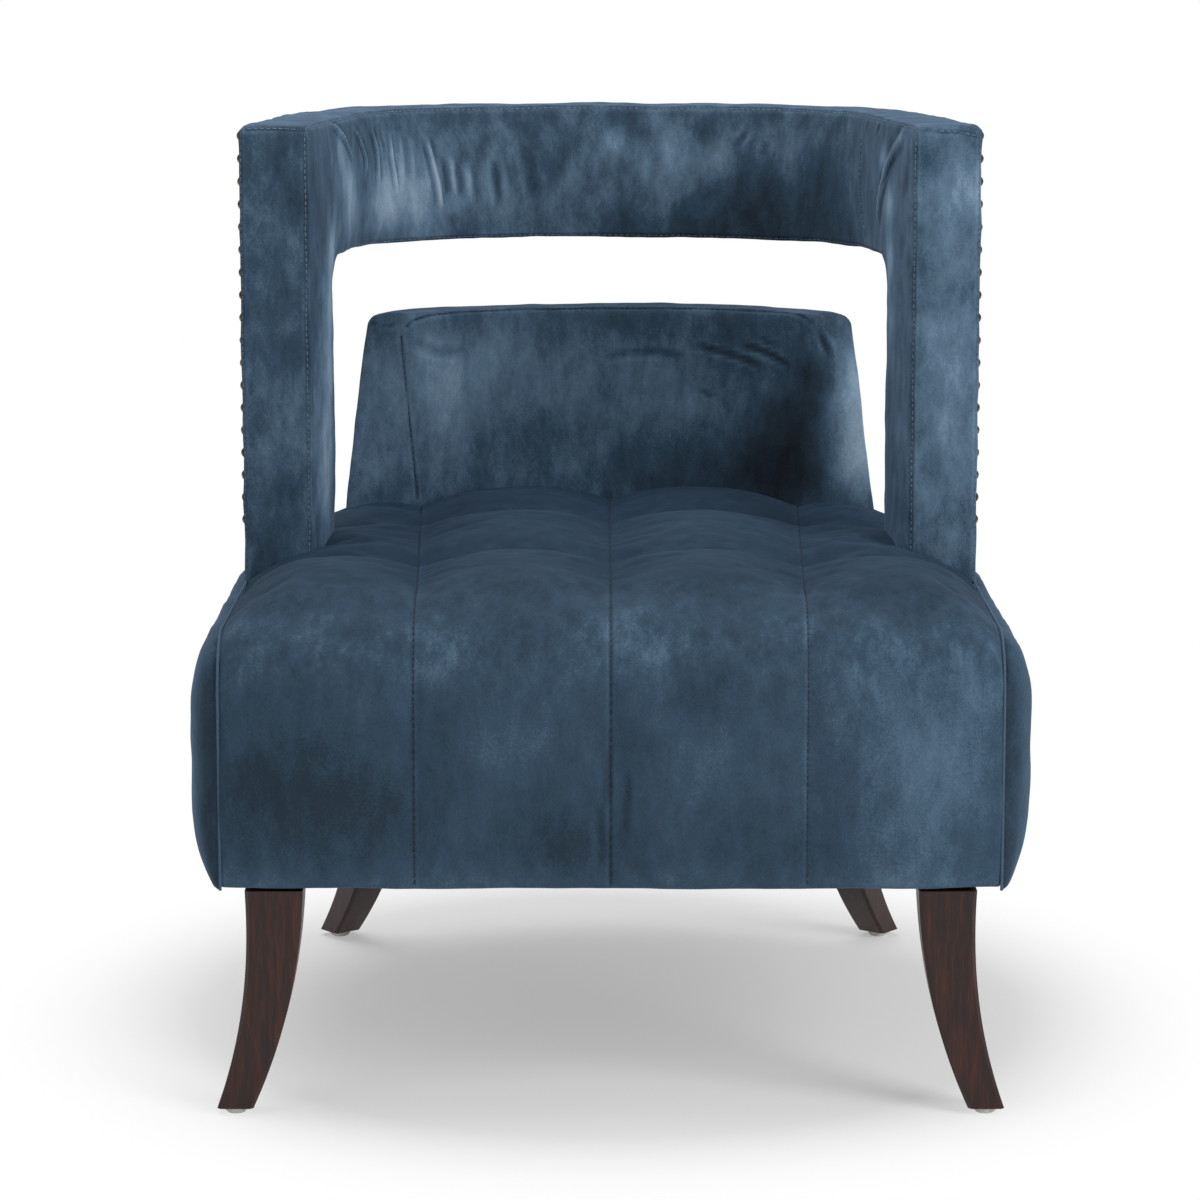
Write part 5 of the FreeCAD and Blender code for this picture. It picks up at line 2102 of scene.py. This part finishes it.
@dataclass
class LowerBack:
    """The low curved back that stands behind the seat, clear of the rail.

    Pairs hold a size at the foot and at the top. Depths count from the seat's front.

    Attributes:
        measures: the frame's measures.
        foot: lowest height, inside the seat.
        outer_half: half widths of the outer face.
        outer_end: depths of the outer face's ends.
        inner_half: half widths of the inner face.
        inner_end: depths of the inner face's ends.
        inner_mid: depths of the inner face's middle.
        outer_mid: depth of the outer face's middle.
        crown: how far the inner face swells.
        edge: how far the padded edges are rounded.
        end_drop: how far the top comes down at its ends.
        end_reach: how far from the ends that begins.
        rise_power: how late on the way up the ends begin to come down.
        end_power: how sharply they do.
        side_share: share of the height at which the rounding of the top begins.
        seams: the sewn lines, for the stitches.
    """

    measures: Measures
    foot: float = 0.330
    outer_half: tuple[float, float] = (0.282, 0.245)
    outer_end: tuple[float, float] = (0.547, 0.622)
    inner_half: tuple[float, float] = (0.187, 0.203)
    inner_end: tuple[float, float] = (0.604, 0.593)
    inner_mid: tuple[float, float] = (0.625, 0.664)
    outer_mid: float = 0.717
    crown: float = 0.005
    edge: float = 0.008
    end_drop: float = 0.009
    end_reach: float = 0.032
    rise_power: int = 8
    end_power: float = 2.5
    side_share: float = 0.97
    levels: int = 40
    arc_parts: int = 60
    end_parts: int = 4
    round_parts: int = 4
    # Painted highlight: the whole back is painted this much lighter, for the brighter light on it.
    nap_and_painted_light: float = 0.12
    rub: float = 0.85
    seams: list[list[Vector]] = field(default_factory=list)

    def ring(self, share: float, inset: float, height: float) -> list[Vector]:
        """A level section with rounded corners.

        Args:
            share: place between the foot and the top.
            inset: how far the section is drawn in all round.
            height: its level.

        Returns:
            Points from the right end's middle round the outside to the left end and back.
        """
        front = self.measures.seat_front

        def between(pair: tuple[float, float]) -> float:
            """A size at this place between the foot and the top."""
            return pair[0] + (pair[1] - pair[0]) * share

        swell = self.crown * 4 * share * (1 - share)
        outer = arc_through(Vector((between(self.outer_half) - inset,
                                    front + between(self.outer_end))),
                            front + self.outer_mid - inset, self.arc_parts)
        inner = arc_through(Vector((between(self.inner_half) - inset,
                                    front + between(self.inner_end) + inset)),
                            front + between(self.inner_mid) + inset - swell, self.arc_parts)
        right, left = outer[0].lerp(inner[0], 0.5), outer[-1].lerp(inner[-1], 0.5)
        reach, rounds, parts = self.edge, self.round_parts, self.end_parts
        ring = [right, *evenly(right, outer[0], parts)[:-1]]
        ring += eased_corner(right, outer[0], outer[1], reach, rounds)
        ring += outer[2:-2]
        ring += eased_corner(outer[-2], outer[-1], left, reach, rounds)
        ring += [*evenly(outer[-1], left, parts)[1:], left, *evenly(left, inner[-1], parts)[:-1]]
        ring += eased_corner(left, inner[-1], inner[-2], reach, rounds)
        ring += inner[2:-2][::-1]
        ring += eased_corner(inner[1], inner[0], right, reach, rounds)
        ring += evenly(inner[0], right, parts)[1:]
        start = between(self.outer_half) - self.end_reach
        drop = self.end_drop * share ** self.rise_power
        falls = [max(0.0, (abs(spot.x) - start) / self.end_reach) for spot in ring]
        return [Vector((spot.x, spot.y, height - drop * fall ** self.end_power))
                for spot, fall in zip(ring, falls)]

    def build(self, velvet: bpy.types.Material) -> bpy.types.Object:
        """Make the back, soften its edges, draw its seams and pulls, and dress it.

        Args:
            velvet: its cover.

        Returns:
            The back.
        """
        m = self.measures
        radius = self.edge
        rings = []
        for i in range(self.levels + 1):
            share = i / self.levels
            height = self.foot + (m.lower_top - radius - self.foot) * share
            rings.append(self.ring(share * self.side_share, 0.0, height))
        for i in range(1, self.round_parts + 1):
            angle = math.pi / 2 * i / self.round_parts
            share = self.side_share + (1 - self.side_share) * math.sin(angle)
            rings.append(self.ring(share, radius * (1 - math.cos(angle)),
                                   m.lower_top - radius * (1 - math.sin(angle))))
        obj = loft_of("lower_back_upholstery", rings, split=True)
        subdivide(obj)
        ripple(obj, height=0.0012, scale=0.08, seed=31.0)
        tree = tree_of(obj)
        grooves = [Groove(on_photo(tree, path), width=0.0016, depth=0.0011, rim=0.4)
                   for path in BACK_SEAMS]
        grooves += [Groove(on_photo(tree, path), width * MM, depth * MM, rim=0.5, fade=0.02)
                    for path, width, depth in BACK_FOLDS]
        shift = press(obj, grooves)
        tree = tree_of(obj)
        self.seams = [on_photo(tree, path) for path in BACK_SEAMS]
        # Painted light: the table's painted highlights and shade, the folds' ridges painted lighter and grooves
        # darker, and the back's painted lift.
        set_attribute(obj, "nap_and_painted_light", nap_and_light_marks(obj, BACK_NAP_AND_LIGHT) + RIDGE_HIGHLIGHT_GROOVE_SHADE * shift + self.nap_and_painted_light)
        set_attribute(obj, "rub", np.full(len(shift), self.rub))
        obj.data.materials.append(velvet)
        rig.ride(obj, ROOT)
        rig.replaces(obj, "lower_back_pad", "lower_back_inner_cover", "lower_back_outer_cover",
                    "lower_back_end_cover_right", "lower_back_end_cover_left",
                    "lower_back_top_cover")
        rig.slot(obj, "velvet")
        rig.padded(obj, 0.9)
        return obj


# The sewn lines of the lower back, as pixels of the photograph
BACK_SEAMS = (
    ((372, 323), (406, 327.5)),
    ((406, 327), (416, 319.5), (442.8, 313.5), (479.5, 311), (540, 309), (600, 308),
     (690, 308.5), (738, 310), (786, 312.5), (802, 316.5), (814, 324)),
    ((401, 335), (404.6, 372), (409, 415), (413.4, 456), (417.8, 498)),
)

# Pulled folds of the lower back: pixels, width and depth in millimetres
BACK_FOLDS = (
    (((816, 327), (823, 340), (829, 352), (831, 366)), 3.4, 2.4),
    (((754, 336), (768, 343), (782, 351)), 3.0, 1.8),
    (((736, 344), (762, 351), (786, 365), (789, 376)), 3.2, 1.9),
    (((690, 344), (728, 354), (752, 363), (767, 373)), 3.2, 1.7),
    (((798, 334), (802, 341), (803, 350)), 3.0, 1.3),
    (((690, 389), (708, 394), (726, 402)), 3.0, 1.0),
    (((600, 356), (650, 352), (690, 358)), 4.0, 0.9),
    (((410, 340), (440, 352), (470, 350)), 5.0, 0.8),
)

# Brushing of the pile and painted light of the lower back, such as the painted shade low on its right: pixel, radius
# in millimetres, strength
BACK_NAP_AND_LIGHT = (
    ((450, 370), 50.0, 0.26),
    ((500, 355), 36.0, 0.16),
    ((440, 420), 40.0, 0.14),
    ((560, 370), 44.0, 0.12),
    ((640, 400), 60.0, 0.12),
    ((700, 395), 40.0, 0.10),
    ((470, 325), 26.0, -0.16),
    ((560, 325), 34.0, -0.08),
    ((650, 325), 34.0, -0.08),
    ((740, 325), 30.0, -0.12),
    ((745, 475), 40.0, -0.28),
    ((790, 470), 40.0, -0.42),
    ((795, 420), 34.0, -0.30),
    ((812, 375), 20.0, -0.30),
    ((660, 480), 40.0, -0.14),
    ((852, 360), 20.0, 0.30),
    ((856, 392), 24.0, 0.36),
    ((858, 425), 26.0, 0.36),
    ((860, 460), 28.0, 0.40),
    ((380, 380), 26.0, 0.10),
    ((372, 450), 30.0, 0.10),
)


def arc_through(end: Vector, middle: float, parts: int) -> list[Vector]:
    """An arc in plan from an end on the right, through a middle point, to the left.

    Args:
        end: the right-hand end.
        middle: depth of the arc's middle, on the centre line.
        parts: number of steps.

    Returns:
        The points from right to left.
    """
    rise = middle - end.y
    radius = (end.x ** 2 + rise ** 2) / (2 * rise)
    centre = middle - radius
    swing = math.atan2(end.x, end.y - centre)
    return [Vector((radius * math.sin(swing * (1 - 2 * i / parts)),
                    centre + radius * math.cos(swing * (1 - 2 * i / parts))))
            for i in range(parts + 1)]


# Frame, trim and room


@dataclass
class Piping:
    """A cord of velvet, sewn in where the seat's cover meets its border.

    Attributes:
        border: the border whose upper edge it follows.
        radius: half its thickness.
        inward: how far its middle lies from the seam, towards the seat.
        end_parts: steps up each of its front ends.
    """

    border: Border
    radius: float = 0.0013
    inward: float = 0.0004
    sides: int = 8
    end_parts: int = 60
    round_parts: int = 320
    stations: int = 620
    # Painted highlight: the cord is painted this much lighter, as a light edge along the seam.
    nap_and_painted_light: float = 0.16

    def path(self) -> list[Vector]:
        """The seam, from the right foot up, round the back and down to the left foot.

        Returns:
            Points along the cord's middle, evenly spaced.
        """
        parts, ends = self.round_parts, self.end_parts
        rise = [self.border.spot(0.0, i / ends, 0.0) for i in range(ends)]
        round_back = [self.border.spot(i / parts, 1.0, 0.0) for i in range(parts + 1)]
        fall = [self.border.spot(1.0, 1 - i / ends, 0.0) for i in range(1, ends + 1)]
        outline = self.border.outline()
        moved = []
        for spot in rise + round_back + fall:
            reach = outline.inside(spot.x, spot.y)
            towards = Vector((-math.copysign(1.0, spot.x), 0.0, 0.0))
            if spot.y > outline.turn:
                towards = Vector((-spot.x, outline.back_centre - spot.y, 0)).normalized()
            moved.append(spot + towards * (self.inward - min(0.0, reach)))
        return even_path(moved, self.stations)

    def build(self, velvet: bpy.types.Material) -> bpy.types.Object:
        """Make the cord and dress it.

        Args:
            velvet: its cover.

        Returns:
            The cord.
        """
        path = self.path()
        normal, rings = Vector((0, 1, 0)), []
        for i, spot in enumerate(path):
            along = (path[min(i + 1, len(path) - 1)] - path[max(i - 1, 0)]).normalized()
            normal = (normal - along * normal.dot(along)).normalized()
            across = along.cross(normal)
            rings.append([spot + (normal * math.cos(angle) + across * math.sin(angle))
                          * self.radius
                          for angle in [2 * math.pi * k / self.sides
                                        for k in range(self.sides)]])
        obj = loft_of("seat_edge_piping", rings)
        # Painted highlight along the cord.
        set_attribute(obj, "nap_and_painted_light", np.full(len(obj.data.vertices), self.nap_and_painted_light))
        obj.data.materials.append(velvet)
        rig.ride(obj, ROOT)
        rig.slot(obj, "velvet")
        return obj


@dataclass
class Woodwork:
    """The frame's own nodes: legs, glides, nails and everything inside the padding."""

    def dress(self) -> None:
        """Give every node that stays its material."""
        finishes = {"leg_": Walnut().material(), "nails_": Bronze().material(),
                    "glides": Nylon().material(), "spring_pad": FELT.material(),
                    "dust_cover": DUST_CLOTH.material()}
        steel, plywood = SPRING_STEEL.material(), PLYWOOD.material()
        finishes |= {"seat_springs": steel, "spring_clips": steel, "leg_bolts": steel}
        for name, node in frame["nodes"].items():
            chosen = plywood
            for start, material in finishes.items():
                if name.startswith(start) and (start != "leg_" or name != "leg_bolts"):
                    chosen = material
            node.data.materials.clear()
            node.data.materials.append(chosen)
        log.info("dressed %d nodes", len(frame["nodes"]))


@dataclass
class Studio:
    """The white room: a pale floor, soft lamps and the photograph's camera.

    Attributes:
        floor_half: half the floor's side.
        shadow: distances from the middle between which the chair's shadow gives way to white.
        shadow_shape: how the shadow's ring is scaled along each axis.
        haze: how white the floor is where the shadow lies.
        fill: strength of the light that the room itself gives.
    """

    floor_half: float = 6.0
    shadow: tuple[float, float] = (0.26, 0.60)
    shadow_shape: tuple[float, float, float] = (1.0, 0.9, 1.0)
    haze: float = 0.35
    fill: float = 0.34

    def light(self, name: str, place: tuple[float, float, float], size: tuple[float, float],
              power: float, aim: tuple[float, float, float]) -> None:
        """Hang one soft rectangular lamp and turn it to a point.

        Args:
            name: the lamp's name.
            place: where it hangs.
            size: its width and height.
            power: its power in watts.
            aim: the point that it is turned to.
        """
        data = bpy.data.lights.new(name, "AREA")
        data.shape = "RECTANGLE"
        data.size, data.size_y = size
        data.energy = power
        lamp = bpy.data.objects.new(name, data)
        lamp.location = place
        lamp.rotation_euler = (Vector(aim) - Vector(place)).to_track_quat("-Z", "Y").to_euler()
        bpy.context.scene.collection.objects.link(lamp)

    def floor(self) -> None:
        """Lay the floor: it takes the chair's shadow and is white everywhere else."""
        bm = bmesh.new()
        bmesh.ops.create_grid(bm, x_segments=1, y_segments=1, size=self.floor_half)
        obj = new_object("studio_floor", bm)
        finish = Finish("white_paper_floor")
        finish.set(Base_Color=linear("#f4f4f4"), Roughness=0.9, Specular_IOR_Level=0.1)
        coordinates = finish.add("TexCoord").outputs["Object"]
        near = finish.add("Mapping", {"Vector": coordinates,
                                      "Scale": self.shadow_shape}).outputs[0]
        reach = finish.add("VectorMath", (near,), operation="LENGTH").outputs["Value"]
        low, high = self.shadow
        mask = finish.add("MapRange", {"Value": reach, "From Min": low, "From Max": high},
                          interpolation_type="SMOOTHSTEP").outputs[0]
        rays = finish.add("LightPath").outputs
        seen = rays["Is Camera Ray"]
        for operation, other in (("ADD", rays["Is Glossy Ray"]),
                                 ("ADD", rays["Is Transmission Ray"]), ("MINIMUM", 1.0)):
            seen = finish.add("Math", (seen, other), operation=operation).outputs[0]
        lifted = finish.add("Math", (mask, self.haze), operation="MAXIMUM").outputs[0]
        factor = finish.add("Math", (lifted, seen), operation="MULTIPLY").outputs[0]
        white = finish.add("Emission", {"Color": (1, 1, 1, 1), "Strength": 1.0})
        mixed = finish.add("MixShader", (factor, finish.shader.outputs[0], white.outputs[0]))
        finish.tree.links.new(mixed.outputs[0], finish.output.inputs["Surface"])
        obj.data.materials.append(finish.material)
        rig.stage(obj)

    def world(self) -> None:
        """White to the camera and in reflections, and a soft fill for everything else."""
        world = bpy.data.worlds.new("white_room")
        world.use_nodes = True
        bpy.context.scene.world = world
        tree = world.node_tree
        tree.nodes.clear()
        rays = tree.nodes.new("ShaderNodeLightPath")
        fill = tree.nodes.new("ShaderNodeBackground")
        fill.inputs["Color"].default_value = (1, 1, 1, 1)
        fill.inputs["Strength"].default_value = self.fill
        white = tree.nodes.new("ShaderNodeBackground")
        white.inputs["Color"].default_value = (1, 1, 1, 1)
        mix = tree.nodes.new("ShaderNodeMixShader")
        output = tree.nodes.new("ShaderNodeOutputWorld")
        tree.links.new(rays.outputs["Is Camera Ray"], mix.inputs[0])
        tree.links.new(fill.outputs[0], mix.inputs[1])
        tree.links.new(white.outputs[0], mix.inputs[2])
        tree.links.new(mix.outputs[0], output.inputs["Surface"])

    def camera(self) -> None:
        """Set up the photograph's camera."""
        data = bpy.data.cameras.new("photo_camera")
        data.lens, data.sensor_width = PHOTO.lens, PHOTO.sensor
        camera = bpy.data.objects.new("photo_camera", data)
        camera.location = PHOTO.place
        camera.rotation_euler = (PHOTO.tilt, 0, 0)
        bpy.context.scene.collection.objects.link(camera)
        bpy.context.scene.camera = camera

    def build(self) -> None:
        """Set the room up."""
        bpy.context.scene.view_settings.view_transform = "Standard"
        self.camera()
        self.world()
        self.floor()
        self.light("overhead", place=(-0.5, 0.3, 2.6), size=(2.0, 2.0), power=36.0,
                   aim=(0, 0, 0.4))
        self.light("key", place=(2.2, -2.0, 1.6), size=(1.4, 1.8), power=58.0, aim=(0, 0, 0.5))
        self.light("fill", place=(-2.2, -2.0, 1.0), size=(1.4, 1.4), power=9.0, aim=(0, 0, 0.5))


def main() -> None:
    """Build the room and the chair, piece by piece."""
    write_bounds("cad", *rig.bounds())
    measures = Measures.read()
    Studio().build()
    velvet = Velvet().material()
    band, seat, back = Band(measures), Seat(measures), LowerBack(measures)
    border = Border(measures)
    for maker in (band, seat, border, back, Piping(border)):
        piece = maker.build(velvet)
        log.info("%s: %d faces", piece.name, len(piece.data.polygons))
    navy = Stitching("seat_and_back_stitches", seat.seams + back.seams)
    slate = Stitching("post_and_rail_stitches", band.seams)
    for stitching, thread in ((navy, NAVY_THREAD), (slate, SLATE_THREAD)):
        piece = stitching.build(thread.material())
        log.info("%s: %d faces", piece.name, len(piece.data.polygons))
    Woodwork().dress()
    write_bounds("visual", *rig.bounds())


if __name__ == "__main__":
    main()
